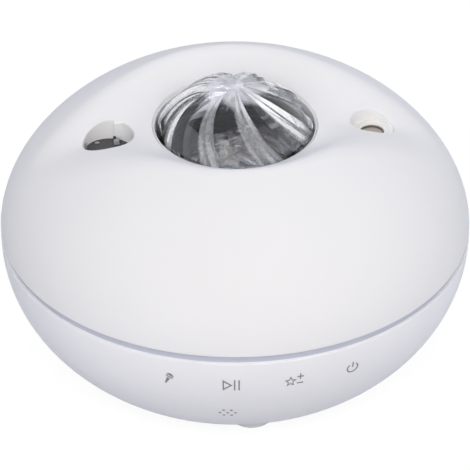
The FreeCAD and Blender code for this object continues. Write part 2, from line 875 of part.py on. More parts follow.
def dome_flute_tools():
    # Round cutters that lie along swirling lines on the ball
    radius = size_of["dome_radius"]
    count = int(size_of["dome_flutes"])
    twist = math.radians(size_of["flute_twist"])
    cutter = math.pi * size_of["skirt_radius"] / count
    lift = cutter - size_of["flute_depth"]
    low = math.asin((size_of["skirt_high"] - size_of["dome_centre"]) / radius)
    spine = []
    low -= size_of["flute_depth"] / size_of["dome_wall"] / FLUTE_SPANS
    high = math.radians(size_of["flute_end"])
    for number in range(FLUTE_SPANS + 1):
        share = number / FLUTE_SPANS
        rise = low + share * (high - low)
        spin = twist * share
        out = (radius + lift) * math.cos(rise)
        spine.append(FreeCAD.Vector(out * math.cos(spin), out * math.sin(spin),
                                    size_of["dome_centre"] + (radius + lift) * math.sin(rise)))
    curve = Part.BSplineCurve()
    curve.interpolate(spine)
    path = Part.Wire(curve.toShape())
    start = curve.value(curve.FirstParameter)
    along = curve.tangent(curve.FirstParameter)[0]
    section = Part.Wire(Part.makeCircle(cutter, start, along))
    tool = path.makePipeShell([section], True, False)
    axis = FreeCAD.Vector(0, 0, 1)
    tools = []
    for number in range(count):
        copy = tool.copy()
        copy.rotate(FreeCAD.Vector(0, 0, 0), axis, FULL_TURN * number / count)
        tools.append(copy)
    return tools


# Lamp chamber and what turns in it


def make_lamp_chamber():
    blank = turned("chamber_blank", [("throat_radius", "lamp_low"),
                                     ("tube_radius", "lamp_low"),
                                     ("tube_radius", "chamber_floor_low"),
                                     ("chamber_radius", "chamber_floor_low"),
                                     ("chamber_radius", "chamber_flange_low"),
                                     ("dome_flange_radius", "chamber_flange_low"),
                                     ("dome_flange_radius", "dome_flange_low"),
                                     ("chamber_bore", "dome_flange_low"),
                                     ("chamber_bore", "clip_low"),
                                     ("chamber_shelf_radius", "clip_low"),
                                     ("chamber_shelf_radius", "gear_floor"),
                                     ("rail_radius", "gear_floor"),
                                     ("rail_radius", "rail_high"),
                                     ("tube_bore", "rail_high"),
                                     ("tube_bore", "lens_seat_height"),
                                     ("throat_radius", "lens_seat_height")])
    parts = [blank]
    for number, angle in enumerate(EAR_ANGLES, start=1):
        across, deep = around("ear_circle", angle)
        parts.append(rod("ear_%d" % number, "ear_radius", "chamber_flange_low",
                         "dome_flange_low", across, deep))
        arm = block("ear_arm_%d" % number, "0", "ear_circle - chamber_radius",
                    "-ear_radius", "ear_radius", "0", "chamber_flange")
        across, deep = around("(chamber_radius + fit_gap)", angle)
        parts.append(swing_arm(arm, across, deep, "chamber_flange_low", "ear_radius", angle))
    parts.append(block("motor_lug", "-lug_half", "lug_half", "tube_radius",
                       "drive_place + motor_ear_radius * 2", "chamber_floor_low", "gear_floor"))
    body = fused("chamber_body", parts)
    holes = [rod("pinion_window", "pinion_tip_radius + 2 * fit_gap", "gear_floor",
                 "clip_low - fit_gap", "0", "drive_place"),
             rod("motor_boss_hole", "motor_boss_radius + fit_gap / 2",
                 "chamber_floor_low - overrun", "gear_floor + overrun", "0", "drive_place"),
             rod("lamp_throat", "tube_bore", "lens_seat_height", "rail_high + overrun")]
    for number, angle in enumerate(EAR_ANGLES, start=1):
        across, deep = around("ear_circle", angle)
        holes.append(rod("ear_hole_%d" % number, "small_screw_radius + fit_gap / 2",
                         "chamber_flange_low - overrun", "dome_flange_low + overrun",
                         across, deep))
    for number, sign in enumerate(("-", ""), start=1):
        holes.append(rod("motor_pilot_%d" % number, "small_screw_radius",
                         "chamber_floor_low - overrun", "gear_floor + overrun",
                         sign + "motor_ear_reach", "drive_place"))
        holes.append(rod("sink_pilot_%d" % number, "small_screw_radius",
                         "lamp_low - overrun", "lens_seat_height - overrun / 2",
                         sign + "sink_screw_circle", "0"))
    return cut("lamp_chamber", body, fused("chamber_holes", holes))


def swing_arm(arm, across, deep, low, half_width, angle):
    # The middle of the arm's end goes to a point, and the arm points away from the axis
    arm.Placement.Rotation = FreeCAD.Rotation(FreeCAD.Vector(0, 0, 1), angle)
    return place(arm, "%s + %s * sin(%g)" % (across, half_width, angle),
                 "%s - %s * cos(%g)" % (deep, half_width, angle), low)


def add_teeth(body, root, pitch, tip, teeth, low, face):
    # One straight-flanked tooth, repeated round the body's axis
    half = "(pi * gear_module * tooth_share / 4)"
    sketch = sketch_on(body, "XY_Plane", body.Name + "_tooth_outline")
    bind(sketch, ".AttachmentOffset.Base.z", low)
    slant = "tan(tooth_slant)"
    wide = "%s + (%s - %s) * %s" % (half, pitch, root, slant)
    narrow = "%s - (%s - %s) * %s" % (half, tip, pitch, slant)
    start = "%s - overrun / 2" % root
    outline(sketch, [(start, "-(%s)" % wide), (tip, "-(%s)" % narrow),
                     (tip, narrow), (start, wide)])
    pad = body.newObject("PartDesign::Pad", body.Name + "_tooth")
    pad.Profile = sketch
    bind(pad, "Length", face)
    pattern = body.newObject("PartDesign::PolarPattern", body.Name + "_teeth")
    pattern.Originals = [pad]
    pattern.Axis = (sketch, ["N_Axis"])
    pattern.Angle = FULL_TURN
    bind(pattern, "Occurrences", teeth)
    body.Tip = pattern
    return body


def make_ring_gear():
    seat = "disc_radius + running_gap"
    lip = "rail_radius - rim_lip"
    body = turned("ring_gear", [("rim_bore", "rim_low"), ("rim_root_radius", "rim_low"),
                                ("rim_root_radius", "rim_high"), (seat, "rim_high"),
                                (seat, "rim_web_high"), (lip, "rim_web_high"),
                                (lip, "rim_web_low"), ("rim_bore", "rim_web_low")])
    return add_teeth(body, "rim_root_radius", "rim_pitch_radius", "rim_tip_radius",
                     "rim_teeth", "rim_low", "tooth_height")


def make_ripple_disc():
    return turned("ripple_disc", [("0", "rim_web_high"), ("disc_radius", "rim_web_high"),
                                  ("disc_radius", "disc_high"), ("0", "disc_high")])


def make_gear_clip():
    # Ring that keeps the geared rim on its rail, held down by the flange of the dome
    outer = "chamber_bore - running_gap"
    inner = "chamber_bore - clip_wall"
    return turned("gear_clip", [("clip_bore", "clip_low"), (outer, "clip_low"),
                                (outer, "dome_flange_low"), (inner, "dome_flange_low"),
                                (inner, "clip_high"), ("clip_bore", "clip_high")])


def make_pinion():
    bore = "shaft_radius + running_gap"
    top = "rim_low + tooth_height"
    hub_top = top + " + pinion_hub_height"
    body = turned("drive_pinion", [(bore, "rim_low"), ("pinion_root_radius", "rim_low"),
                                   ("pinion_root_radius", top), ("pinion_hub_radius", top),
                                   ("pinion_hub_radius", hub_top), (bore, hub_top)],
                  "0", "drive_place")
    return add_teeth(body, "pinion_root_radius", "pinion_pitch_radius", "pinion_tip_radius",
                     "pinion_teeth", "rim_low", "tooth_height")


def make_drive_shaft():
    low = "chamber_floor_low - motor_bore_depth + fit_gap"
    high = "rim_low + tooth_height + pinion_hub_height + fit_gap"
    return turned("drive_shaft", [("0", low), ("shaft_radius", low),
                                  ("shaft_radius", high), ("0", high)], "0", "drive_place")


def make_gear_motor():
    high = "chamber_floor_low"
    low = high + " - motor_height"
    boss = high + " + motor_boss_height"
    can = turned("motor_can", [("0", low), ("motor_radius", low), ("motor_radius", high),
                               ("motor_boss_radius", high), ("motor_boss_radius", boss),
                               ("0", boss)], "0", "drive_place")
    ear_low = high + " - motor_ear"
    strap = block("motor_strap", "-motor_ear_reach", "motor_ear_reach",
                  "drive_place - motor_ear_radius", "drive_place + motor_ear_radius",
                  ear_low, high)
    parts = [can, strap]
    holes = [rod("motor_bore", "shaft_radius + running_gap", high + " - motor_bore_depth",
                 boss + " + overrun", "0", "drive_place")]
    for number, sign in enumerate(("-", ""), start=1):
        across = sign + "motor_ear_reach"
        parts.append(rod("motor_ear_%d" % number, "motor_ear_radius", ear_low, high,
                         across, "drive_place"))
        holes.append(rod("motor_ear_hole_%d" % number, "small_screw_radius + running_gap",
                         ear_low + " - overrun", high + " + overrun", across, "drive_place"))
    return cut("gear_motor", fused("motor_body", parts), fused("motor_holes", holes))


# Lamp under the chamber


def make_condenser_lens():
    rim = "tube_bore - running_gap"
    flange = "lens_seat_height + lens_flange"
    return turned("condenser_lens", [("0", "lens_seat_height"), (rim, "lens_seat_height"),
                                     (rim, flange), ("tube_bore - lens_lip", flange),
                                     ("0", flange + " + lens_rise")], arcs=(3,))


def make_lens_clip():
    low = "lens_seat_height + lens_flange"
    high = low + " + lens_clip"
    inner = "tube_bore - lens_lip + fit_gap"
    outer = "tube_bore - running_gap"
    return turned("lens_clip", [(inner, low), (outer, low), (outer, high), (inner, high)])


def make_led_board():
    # Round board with a tab on its left, where the lamp lead is soldered
    disc = rod("led_disc", "tube_radius", "sink_high", "lamp_low")
    tab = block("led_tab", "-tube_radius - led_tab_reach", "-throat_radius",
                "-led_tab_half", "led_tab_half", "sink_high", "lamp_low")
    holes = [rod("led_hole_%d" % number, "small_screw_radius + running_gap",
                 "sink_high - overrun", "lamp_low + overrun", sign + "sink_screw_circle")
             for number, sign in enumerate(("-", ""), start=1)]
    return cut("led_board", fused("led_blank", [disc, tab]), fused("led_holes", holes))


def make_emitters():
    chips = []
    half = "emitter_width / 2"
    for across_sign in ("-", ""):
        for deep_sign in ("-", ""):
            across = across_sign + "emitter_pitch / 2"
            deep = deep_sign + "emitter_pitch / 2"
            chips.append(block("emitter_%d" % (len(chips) + 1),
                               "%s - %s" % (across, half), "%s + %s" % (across, half),
                               "%s - %s" % (deep, half), "%s + %s" % (deep, half),
                               "lamp_low", "lamp_low + emitter_height"))
    return group("led_emitters", chips)


def make_heat_sink():
    plate_low = "sink_high - sink_plate"
    parts = [rod("sink_disc", "tube_radius", plate_low, "sink_high")]
    count = int(size_of["fin_count"])
    for number in range(count):
        share = number / (count - 1) - 0.5
        across = "fin_field * %g" % share
        parts.append(block("fin_%d" % (number + 1),
                           across + " - fin_thickness / 2", across + " + fin_thickness / 2",
                           "-fin_field / 2", "fin_field / 2", "sink_low", plate_low))
    holes = [rod("sink_hole_%d" % number, "small_screw_radius + running_gap",
                 plate_low + " - overrun", "sink_high + overrun", sign + "sink_screw_circle")
             for number, sign in enumerate(("-", ""), start=1)]
    return cut("heat_sink", fused("sink_body", parts), fused("sink_holes", holes))


# Laser with its grating wheel under the left opening


def make_left_window():
    radius = "left_bore + window_lap - running_gap"
    inside = radius + " - window_wall"
    low = "window_high - window_thickness"
    return turned("left_window", [("0", low), (inside, low), (inside, "left_collar_low"),
                                  (radius, "left_collar_low"), (radius, "window_high"),
                                  ("0", "window_high")], "-left_reach")


def make_laser_frame(room):
    left = "-left_reach - frame_outer"
    right = "-left_reach + frame_inner"
    shelf_high = "frame_low + frame_shelf"
    parts = [block("frame_top", left, right, "-frame_front", "frame_back",
                   "frame_plate_low", "frame_high"),
             block("frame_side", left, left + " + frame_wall", "-frame_front", "frame_back",
                   "frame_low", "frame_high"),
             block("frame_end", left, right, "frame_back - frame_wall", "frame_back",
                   "frame_low", "frame_high"),
             block("frame_floor", left, right, "-frame_front", "frame_back",
                   "frame_low", shelf_high)]
    above = ("frame_plate_low - overrun", "frame_high + overrun")
    below = ("frame_low - overrun", shelf_high + " + overrun")
    holes = [rod("beam_opening", "beam_hole", *above, "-left_reach"),
             rod("frame_hole_1", "small_screw_radius + running_gap", *above, "-left_reach",
                 "-frame_screw_front"),
             rod("frame_hole_2", "small_screw_radius + running_gap", *above, "-left_reach",
                 "frame_screw_back"),
             rod("laser_seat", "laser_radius + running_gap", *below, "-left_reach"),
             rod("small_motor_seat", "small_motor_radius + running_gap", *below,
                 "-left_reach", "-wheel_offset")]
    drilled = cut("frame_drilled", fused("frame_body", parts), fused("frame_holes", holes))
    return shared("laser_frame", drilled, room)


def make_star_laser():
    low = "laser_top - laser_length"
    step = "laser_top - laser_nose"
    return turned("star_laser", [("0", low), ("laser_radius", low), ("laser_radius", step),
                                 ("laser_nose_radius", step),
                                 ("laser_nose_radius", "laser_top"), ("0", "laser_top")],
                  "-left_reach")


def make_grating_wheel():
    bore = "small_shaft_radius + running_gap"
    high = "wheel_low + wheel_thickness"
    hub_low = high + " - wheel_hub_height"
    body = turned("grating_wheel", [(bore, hub_low), ("wheel_hub_radius", hub_low),
                                    ("wheel_hub_radius", "wheel_low"),
                                    ("wheel_radius", "wheel_low"), ("wheel_radius", high),
                                    (bore, high)], "-left_reach", "-wheel_offset")
    sketch = sketch_on(body, "XY_Plane", "wheel_window_outline")
    circle(sketch, "wheel_window_radius", "0", "wheel_offset")
    pocket = body.newObject("PartDesign::Pocket", "wheel_window")
    pocket.Profile = sketch
    pocket.Type = "ThroughAll"
    pocket.Midplane = True
    pattern = body.newObject("PartDesign::PolarPattern", "wheel_windows_around")
    pattern.Originals = [pocket]
    pattern.Axis = (sketch, ["N_Axis"])
    pattern.Angle = FULL_TURN
    bind(pattern, "Occurrences", "wheel_windows")
    body.Tip = pattern
    return body


def make_grating_film():
    low = "wheel_low + wheel_thickness"
    high = low + " + film_thickness"
    return turned("grating_film", [("wheel_hub_radius", low), ("wheel_radius - fit_gap", low),
                                   ("wheel_radius - fit_gap", high),
                                   ("wheel_hub_radius", high)],
                  "-left_reach", "-wheel_offset")


def make_grating_shaft():
    low = "small_motor_high - frame_shelf"
    high = "wheel_low + wheel_thickness + film_thickness"
    return turned("grating_shaft", [("0", low), ("small_shaft_radius", low),
                                    ("small_shaft_radius", high), ("0", high)],
                  "-left_reach", "-wheel_offset")


def make_grating_motor():
    low = "small_motor_high - small_motor_height"
    floor = "small_motor_high - frame_shelf - fit_gap"
    bore = "small_shaft_radius + running_gap"
    return turned("grating_motor", [("0", low), ("small_motor_radius", low),
                                    ("small_motor_radius", "small_motor_high"),
                                    (bore, "small_motor_high"), (bore, floor),
                                    ("0", floor)], "-left_reach", "-wheel_offset")


# Laser under the right opening


def make_lens_bezel(room):
    outer = "right_bore - running_gap"
    first = "right_bore - bezel_inset"
    second = "right_bore - 2 * bezel_inset"
    pocket = "right_lens_radius + running_gap"
    collar = turned("bezel_collar", [(pocket, "right_collar_low - bezel_flange / 2"),
                                     (outer, "right_collar_low - bezel_flange / 2"),
                                     (outer, "bezel_top"), (first, "bezel_top"),
                                     (first, "bezel_top - bezel_step"),
                                     (second, "bezel_top - bezel_step"),
                                     (second, "bezel_top - 2 * bezel_step"),
                                     ("bezel_throat", "bezel_top - 2 * bezel_step"),
                                     ("bezel_throat", "right_lens_high"),
                                     (pocket, "right_lens_high")], "right_reach")
    flange = turned("bezel_flange_ring", [(pocket, "right_flange_low"),
                                          ("bezel_flange_radius", "right_flange_low"),
                                          ("bezel_flange_radius", "right_collar_low"),
                                          (pocket, "right_collar_low")], "right_reach")
    return fused("lens_bezel", [collar, shared("bezel_flange_trimmed", flange, room)])


def make_right_lens():
    return turned("right_lens", [("0", "right_lens_low"),
                                 ("right_lens_radius", "right_lens_low"),
                                 ("right_lens_radius", "right_lens_high"),
                                 ("0", "right_lens_high")], "right_reach")


def make_right_laser():
    low = "right_lens_low - right_laser_length"
    return turned("right_laser", [("0", low), ("right_laser_radius", low),
                                  ("right_laser_radius", "right_lens_low"),
                                  ("0", "right_lens_low")], "right_reach")


def make_laser_clamp(room):
    reach = "clamp_screw_reach + clamp_margin"
    body = plate("clamp_plate",
                 lambda sketch: outline(sketch, block_corners("clamp_half",
                                                              "-(%s)" % reach, reach)),
                 "clamp_thickness", "right_reach", "0", "clamp_low")
    holes = [("right_laser_radius + running_gap", "0", "0")]
    holes += [("small_screw_radius + running_gap", "0", sign + "clamp_screw_reach")
              for sign in ("-", "")]
    return shared("laser_clamp", through_holes(body, holes), room)


# Touch strip and microphone


def make_touch_strip():
    body = doc.addObject("PartDesign::Body", "touch_strip")
    sketch = sketch_on(body, "XZ_Plane", "touch_strip_outline")
    outline(sketch, [("touch_low_radius - touch_thickness", "touch_low"),
                     ("touch_low_radius", "touch_low"), ("touch_high_radius", "touch_high"),
                     ("touch_high_radius - touch_thickness", "touch_high")])
    turn = body.newObject("PartDesign::Revolution", "touch_strip_turn")
    turn.Profile = sketch
    turn.ReferenceAxis = (sketch, ["V_Axis"])
    turn.Midplane = True
    bind(turn, "Angle", "touch_angle")
    body.Placement.Rotation = FreeCAD.Rotation(FreeCAD.Vector(0, 0, 1), -FULL_TURN / 4)
    return body


def make_microphone():
    body = turned("microphone", [("0", "0"), ("mic_radius", "0"),
                                 ("mic_radius", "mic_length"), ("0", "mic_length")])
    for axis in ("x", "y", "z"):
        body.setExpression(".Placement.Base." + axis, None)
    inset = size_of["shell_wall"] + size_of["fit_gap"] + size_of["mic_length"]
    body.Placement = mic_placement(inset)
    return body


# Electronics in the belly


def make_main_board():
    corners = [("-board_half", "board_front"), ("board_half", "board_front"),
               ("board_half", "board_back"), ("board_tab_half", "board_back"),
               ("board_tab_half", "board_tab_back"), ("-board_tab_half", "board_tab_back"),
               ("-board_tab_half", "board_back"), ("-board_half", "board_back")]
    body = plate("main_board", lambda sketch: outline(sketch, corners), "board_thickness",
                 high="board_low")
    holes = [("small_screw_radius + running_gap", across, deep)
             for across, deep in standoff_places()]
    return through_holes(body, holes)


def make_board_chips():
    # Radio module, amplifier and three plugs: middle and half sizes across and along the
    # board, then the rise, as shares of the board's half width and depth
    chips = []
    chip_shares = (("radio", -0.1, 0.62, 0.28, 0.16, 0.08),
                   ("amplifier", 0.4, 0.3, 0.13, 0.08, 0.05),
                   ("lamp_plug", -0.6, 0.05, 0.14, 0.05, 0.2),
                   ("laser_plug", -0.9, 0.58, 0.1, 0.07, 0.2),
                   ("speaker_plug", 0.6, 0.05, 0.12, 0.05, 0.2))
    depth = "(board_back - board_front)"
    for name, across, deep, half_width, half_depth, rise in chip_shares:
        chips.append(block(name, "board_half * %g" % (across - half_width),
                           "board_half * %g" % (across + half_width),
                           "board_front + %s * %g" % (depth, deep - half_depth),
                           "board_front + %s * %g" % (depth, deep + half_depth),
                           "board_high", "board_high + board_half * %g" % rise))
    return group("board_chips", chips)


def make_usb_socket():
    width = size_of["socket_width"]
    height = size_of["socket_height"]
    length = size_of["socket_length"]
    wall = size_of["socket_wall"]
    shell = formed("socket_shell", rounded_bar(width, height, length))
    pocket = formed("socket_pocket", rounded_bar(width - 2 * wall, height - 2 * wall, length))
    start = FreeCAD.Vector(0, size_of["socket_mouth"] - length,
                           size_of["socket_height_middle"])
    shell.Placement = FreeCAD.Placement(start, FreeCAD.Rotation())
    step = FreeCAD.Vector(0, size_of["socket_back_wall"], 0)
    pocket.Placement = FreeCAD.Placement(start + step, FreeCAD.Rotation())
    tongue = block("socket_tongue_block", "-socket_tongue_width / 2",
                   "socket_tongue_width / 2", "socket_mouth - socket_length",
                   "socket_mouth - socket_recess",
                   "socket_height_middle - socket_tongue / 2",
                   "socket_height_middle + socket_tongue / 2")
    return fused("usb_socket", [cut("socket_sleeve", shell, pocket), tongue])


# Leads, as straight runs joined by arcs as wide as the runs allow

LEAD_ROUTES = {
    "lamp_lead": [(-24.5, 0, 44.4), (-24.5, 0, 33), (-15.6, 5, 26.2), (-15.6, 15, 26.2)],
    "laser_lead": [(-44, 0, 47.5), (-44, 0, 36), (-52, 14, 29), (-52.5, 30, 26.2),
                   (-43, 42, 26.2), (-34, 43.5, 26.2), (-26, 43.5, 26.2)],
}
BEND_SHARE = 0.45


def make_lead(label):
    points = [FreeCAD.Vector(*point) for point in LEAD_ROUTES[label]]
    edges = []
    here = points[0]
    radii = []
    for before, corner, after in zip(points, points[1:], points[2:]):
        arriving = corner - before
        leaving = after - corner
        trim = BEND_SHARE * min(arriving.Length, leaving.Length)
        start = corner - arriving.normalize() * trim
        end = corner + leaving.normalize() * trim
        turn = arriving.getAngle(leaving)
        radius = trim / math.tan(turn / 2)
        inward = (leaving - arriving).normalize()
        middle = corner + inward * (radius / math.cos(turn / 2) - radius)
        edges.append(Part.LineSegment(here, start).toShape())
        edges.append(Part.Arc(start, middle, end).toShape())
        here = end
        radii.append(round(radius, 1))
    edges.append(Part.LineSegment(here, points[-1]).toShape())
    path = Part.Wire(edges)
    section = Part.Wire(Part.makeCircle(size_of["lead_radius"], points[0],
                                        points[1] - points[0]))
    tube = path.makePipeShell([section], True, False)
    expected = math.pi * size_of["lead_radius"] ** 2 * path.Length
    print("%s bend radii %s, volume share %.4f" % (label, radii, tube.Volume / expected))
    return formed(label, tube)


# Speaker, facing down through the base


def make_speaker_gasket():
    return turned("speaker_gasket", [("speaker_mouth", "floor_high"),
                                     ("speaker_radius", "floor_high"),
                                     ("speaker_radius", "gasket_high"),
                                     ("speaker_mouth", "gasket_high")],
                  "0", "speaker_place")


def make_speaker_frame():
    inside = "basket_high - basket_wall"
    parts = [turned("speaker_basket", [("speaker_mouth", "basket_low"),
                                       ("speaker_radius", "basket_low"),
                                       ("speaker_radius", "basket_rim_high"),
                                       ("basket_neck + basket_wall", "basket_high"),
                                       ("magnet_bore", "basket_high"),
                                       ("magnet_bore", inside), ("basket_neck", inside),
                                       ("speaker_mouth", "basket_rim_high")],
                    "0", "speaker_place")]
    holes = []
    for number, (across, deep) in enumerate(speaker_ear_places(), start=1):
        angle = SPEAKER_EAR_ANGLES[number - 1]
        parts.append(rod("speaker_ear_%d" % number, "boss_radius", "basket_low",
                         "basket_rim_high", across, deep))
        arm = block("speaker_arm_%d" % number, "0",
                    "speaker_ear_circle - speaker_mouth - basket_wall",
                    "-boss_radius", "boss_radius", "0", "speaker_plate")
        start_across, start_deep = around("(speaker_mouth + basket_wall)", angle)
        parts.append(swing_arm(arm, start_across, start_deep + " + speaker_place",
                               "basket_low", "boss_radius", angle))
        holes.append(rod("speaker_hole_%d" % number, "small_screw_radius + running_gap",
                         "basket_low - overrun", "basket_rim_high + overrun", across, deep))
    return cut("speaker_frame", fused("speaker_body", parts), fused("speaker_holes", holes))


def make_speaker_magnet():
    plate_low = "magnet_high - basket_wall * 2"
    return turned("speaker_magnet", [("0", "basket_high"), ("pole_radius", "basket_high"),
                                     ("pole_radius", plate_low), ("magnet_bore", plate_low),
                                     ("magnet_bore", "basket_high"),
                                     ("magnet_radius", "basket_high"),
                                     ("magnet_radius", "magnet_high"),
                                     ("0", "magnet_high")], "0", "speaker_place")


def make_speaker_cone():
    inside = "coil_radius - coil_wall"
    return turned("speaker_cone", [("cone_radius", "cone_low"),
                                   ("cone_radius", "cone_low + cone_wall"),
                                   ("coil_radius", "cone_high"), ("coil_radius", "coil_high"),
                                   (inside, "coil_high"), (inside, "cone_high"),
                                   ("0", "cone_high"), ("0", "cone_high - cone_wall"),
                                   ("coil_radius", "cone_high - cone_wall")],
                  "0", "speaker_place")


def make_speaker_surround():
    inner = "cone_radius + fit_gap"
    outer = "speaker_mouth - 3 * fit_gap"
    high = "cone_low + cone_wall"
    return turned("speaker_surround", [(inner, "cone_low"), (outer, "cone_low"),
                                       (outer, high), (inner, high)], "0", "speaker_place")


# Whole projector


def make_everything():
    feet = (("foot_front", -90), ("foot_right", 30), ("foot_left", 150))
    pieces = [make_top_shell(), make_bottom_shell(), make_seam_ring(), make_dome()]
    pieces += [make_foot(label, angle) for label, angle in feet]
    pieces.append(screws("shell_screws", "long", "long_screw_length",
                         [around("foot_circle", angle) + ("ledge_low",)
                          for angle in PILLAR_ANGLES]))
    pieces += [make_lamp_chamber(), make_ring_gear(), make_ripple_disc(), make_gear_clip(),
               make_pinion(), make_drive_shaft(), make_gear_motor()]
    ears = [around("ear_circle", angle) + ("chamber_flange_low",) for angle in EAR_ANGLES]
    pieces.append(screws("chamber_screws", "small", "small_screw_length", ears))
    motor_seat = "chamber_floor_low - motor_ear"
    pieces.append(screws("motor_screws", "small", "short_screw_length",
                         [(sign + "motor_ear_reach", "drive_place", motor_seat)
                          for sign in ("-", "")]))
    pieces += [make_condenser_lens(), make_lens_clip(), make_led_board(), make_emitters(),
               make_heat_sink()]
    pieces.append(screws("sink_screws", "small", "sink_screw_length",
                         [(sign + "sink_screw_circle", "0", "sink_high - sink_plate")
                          for sign in ("-", "")]))
    # What lies near the crown is trimmed to the room under it
    room = formed("room_under_crown", crown_blank(size_of["shell_wall"] + size_of["fit_gap"], 0))
    pieces += [make_left_window(), make_laser_frame(room), make_star_laser(),
               make_grating_wheel(), make_grating_film(), make_grating_shaft(),
               make_grating_motor()]
    pieces.append(screws("frame_screws", "small", "small_screw_length",
                         [("-left_reach", "-frame_screw_front", "frame_plate_low"),
                          ("-left_reach", "frame_screw_back", "frame_plate_low")]))
    pieces += [make_lens_bezel(room), make_right_lens(), make_right_laser(),
               make_laser_clamp(room)]
    pieces.append(screws("clamp_screws", "small", "clamp_screw_length",
                         [("right_reach", sign + "clamp_screw_reach", "clamp_low")
                          for sign in ("-", "")]))
    pieces += [make_touch_strip(), make_microphone(), make_main_board(), make_board_chips(),
               make_usb_socket(), make_lead("lamp_lead"), make_lead("laser_lead")]
    pieces.append(screws("board_screws", "small", "small_screw_length",
                         [(across, deep, "board_high") for across, deep in standoff_places()],
                         upward=False))
    pieces += [make_speaker_gasket(), make_speaker_frame(), make_speaker_magnet(),
               make_speaker_cone(), make_speaker_surround()]
    pieces.append(screws("speaker_screws", "small", "short_screw_length",
                         [(across, deep, "basket_rim_high")
                          for across, deep in speaker_ear_places()], upward=False))
    return pieces


def check_document(pieces):
    for thing in doc.Objects:
        if "Invalid" in thing.State or "Error" in thing.State:
            raise RuntimeError("%s failed to build: %s" % (thing.Label, thing.State))
    for piece in pieces:
        if piece.Shape.isNull() or not piece.Shape.isValid() or not piece.Shape.Solids:
            raise RuntimeError("%s has no valid solid" % piece.Label)


def write_parts(pieces):
    os.makedirs("parts", exist_ok=True)
    for piece in pieces:
        piece.Shape.exportStep("parts/%s.step" % piece.Label)
        box = piece.Shape.BoundBox
        print("%-18s %2d solids %9.1f mm3  z %6.2f to %6.2f"
              % (piece.Label, len(piece.Shape.Solids), piece.Shape.Volume,
                 box.ZMin, box.ZMax))


fill_sheet()
size_of = {name: float(sheet.get(name)) for name in list(DRIVING) + list(FOLLOWING)}
all_pieces = make_everything()
doc.recompute()
check_document(all_pieces)
write_parts(all_pieces)
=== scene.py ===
import json
import math

import bmesh
import bpy
from mathutils import Matrix, Vector


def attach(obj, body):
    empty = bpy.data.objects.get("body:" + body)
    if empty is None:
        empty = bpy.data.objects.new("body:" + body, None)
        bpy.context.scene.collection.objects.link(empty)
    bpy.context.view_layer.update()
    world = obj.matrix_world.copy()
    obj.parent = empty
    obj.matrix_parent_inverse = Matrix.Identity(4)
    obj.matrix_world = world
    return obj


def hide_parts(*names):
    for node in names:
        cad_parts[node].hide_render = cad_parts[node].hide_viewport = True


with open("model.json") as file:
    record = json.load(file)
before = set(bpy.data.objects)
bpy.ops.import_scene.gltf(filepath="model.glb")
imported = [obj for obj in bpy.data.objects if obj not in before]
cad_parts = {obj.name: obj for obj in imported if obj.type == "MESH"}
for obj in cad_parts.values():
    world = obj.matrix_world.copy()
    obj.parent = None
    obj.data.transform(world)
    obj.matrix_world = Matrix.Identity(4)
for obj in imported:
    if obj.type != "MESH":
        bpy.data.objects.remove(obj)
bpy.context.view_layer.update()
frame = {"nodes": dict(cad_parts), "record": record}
print("frame loaded:", len(frame["nodes"]), "nodes")

mm = 0.001
weld = {"turned": 0.002, "drawn": 0.001}  # mm, points nearer than this become one
near = 0.01  # mm, counts as being in the same place


# Ways of working that several pieces share

def selectNothing():
    if bpy.context.object and bpy.context.object.mode != "OBJECT":
        bpy.ops.object.mode_set(mode="OBJECT")
    bpy.ops.object.select_all(action="DESELECT")


def makeActive(piece):
    selectNothing()
    bpy.context.view_layer.objects.active = piece
    piece.select_set(True)


def nameNew(name):
    piece = bpy.context.object
    piece.name = name
    piece.data.name = name
    return piece


def settle(piece):
    # the place goes into the mesh
    makeActive(piece)
    bpy.ops.object.transform_apply(location=True, rotation=True, scale=True)
    return piece


def openPlane(name):
    # a small plane, open for editing by points
    selectNothing()
    bpy.ops.mesh.primitive_plane_add(size=mm)
    piece = nameNew(name)
    bpy.ops.object.mode_set(mode="EDIT")
    bpy.ops.mesh.select_mode(type="VERT")
    return piece


def weldAll(gap):
    bpy.ops.mesh.select_all(action="SELECT")
    bpy.ops.mesh.remove_doubles(threshold=gap * mm)


def leaveEdit():
    # all faces look outwards
    bpy.ops.mesh.select_all(action="SELECT")
    bpy.ops.mesh.normals_make_consistent(inside=False)
    bpy.ops.object.mode_set(mode="OBJECT")


def lathe(name, profile, steps, across=0.0, deep=0.0):
    # one pen point is extruded along the profile (radius, height in mm) and spun about Z
    piece = openPlane(name)
    mesh = bmesh.from_edit_mesh(piece.data)
    mesh.verts.ensure_lookup_table()
    bmesh.ops.delete(mesh, geom=mesh.verts[1:], context="VERTS")
    pen = mesh.verts[:][0]
    start = Vector((across + profile[0][0], deep, profile[0][1])) * mm
    pen.co = start
    pen.select_set(True)
    bmesh.update_edit_mesh(piece.data)
    here = start
    for radius, height in profile[1:]:
        there = Vector((across + radius, deep, height)) * mm
        bpy.ops.mesh.extrude_region_move(TRANSFORM_OT_translate={"value": there - here})
        here = there
    bpy.ops.mesh.select_all(action="SELECT")
    bpy.ops.mesh.spin(steps=steps, angle=math.tau, axis=(0, 0, 1),
                      center=(across * mm, deep * mm, 0))
    weldAll(weld["turned"])
    leaveEdit()
    return piece


def bendRound(corner, radius, startAngle, endAngle, count):
    # points of a small round between two angles, in degrees
    points = []
    for number in range(count + 1):
        angle = math.radians(startAngle + (endAngle - startAngle) * number / count)
        points.append((corner[0] + radius * math.cos(angle),
                       corner[1] + radius * math.sin(angle)))
    return points


def smoothShade(piece, degrees):
    makeActive(piece)
    bpy.ops.object.shade_smooth_by_angle(angle=math.radians(degrees))


def applyAll(piece):
    makeActive(piece)
    for modifier in list(piece.modifiers):
        bpy.ops.object.modifier_apply(modifier=modifier.name)


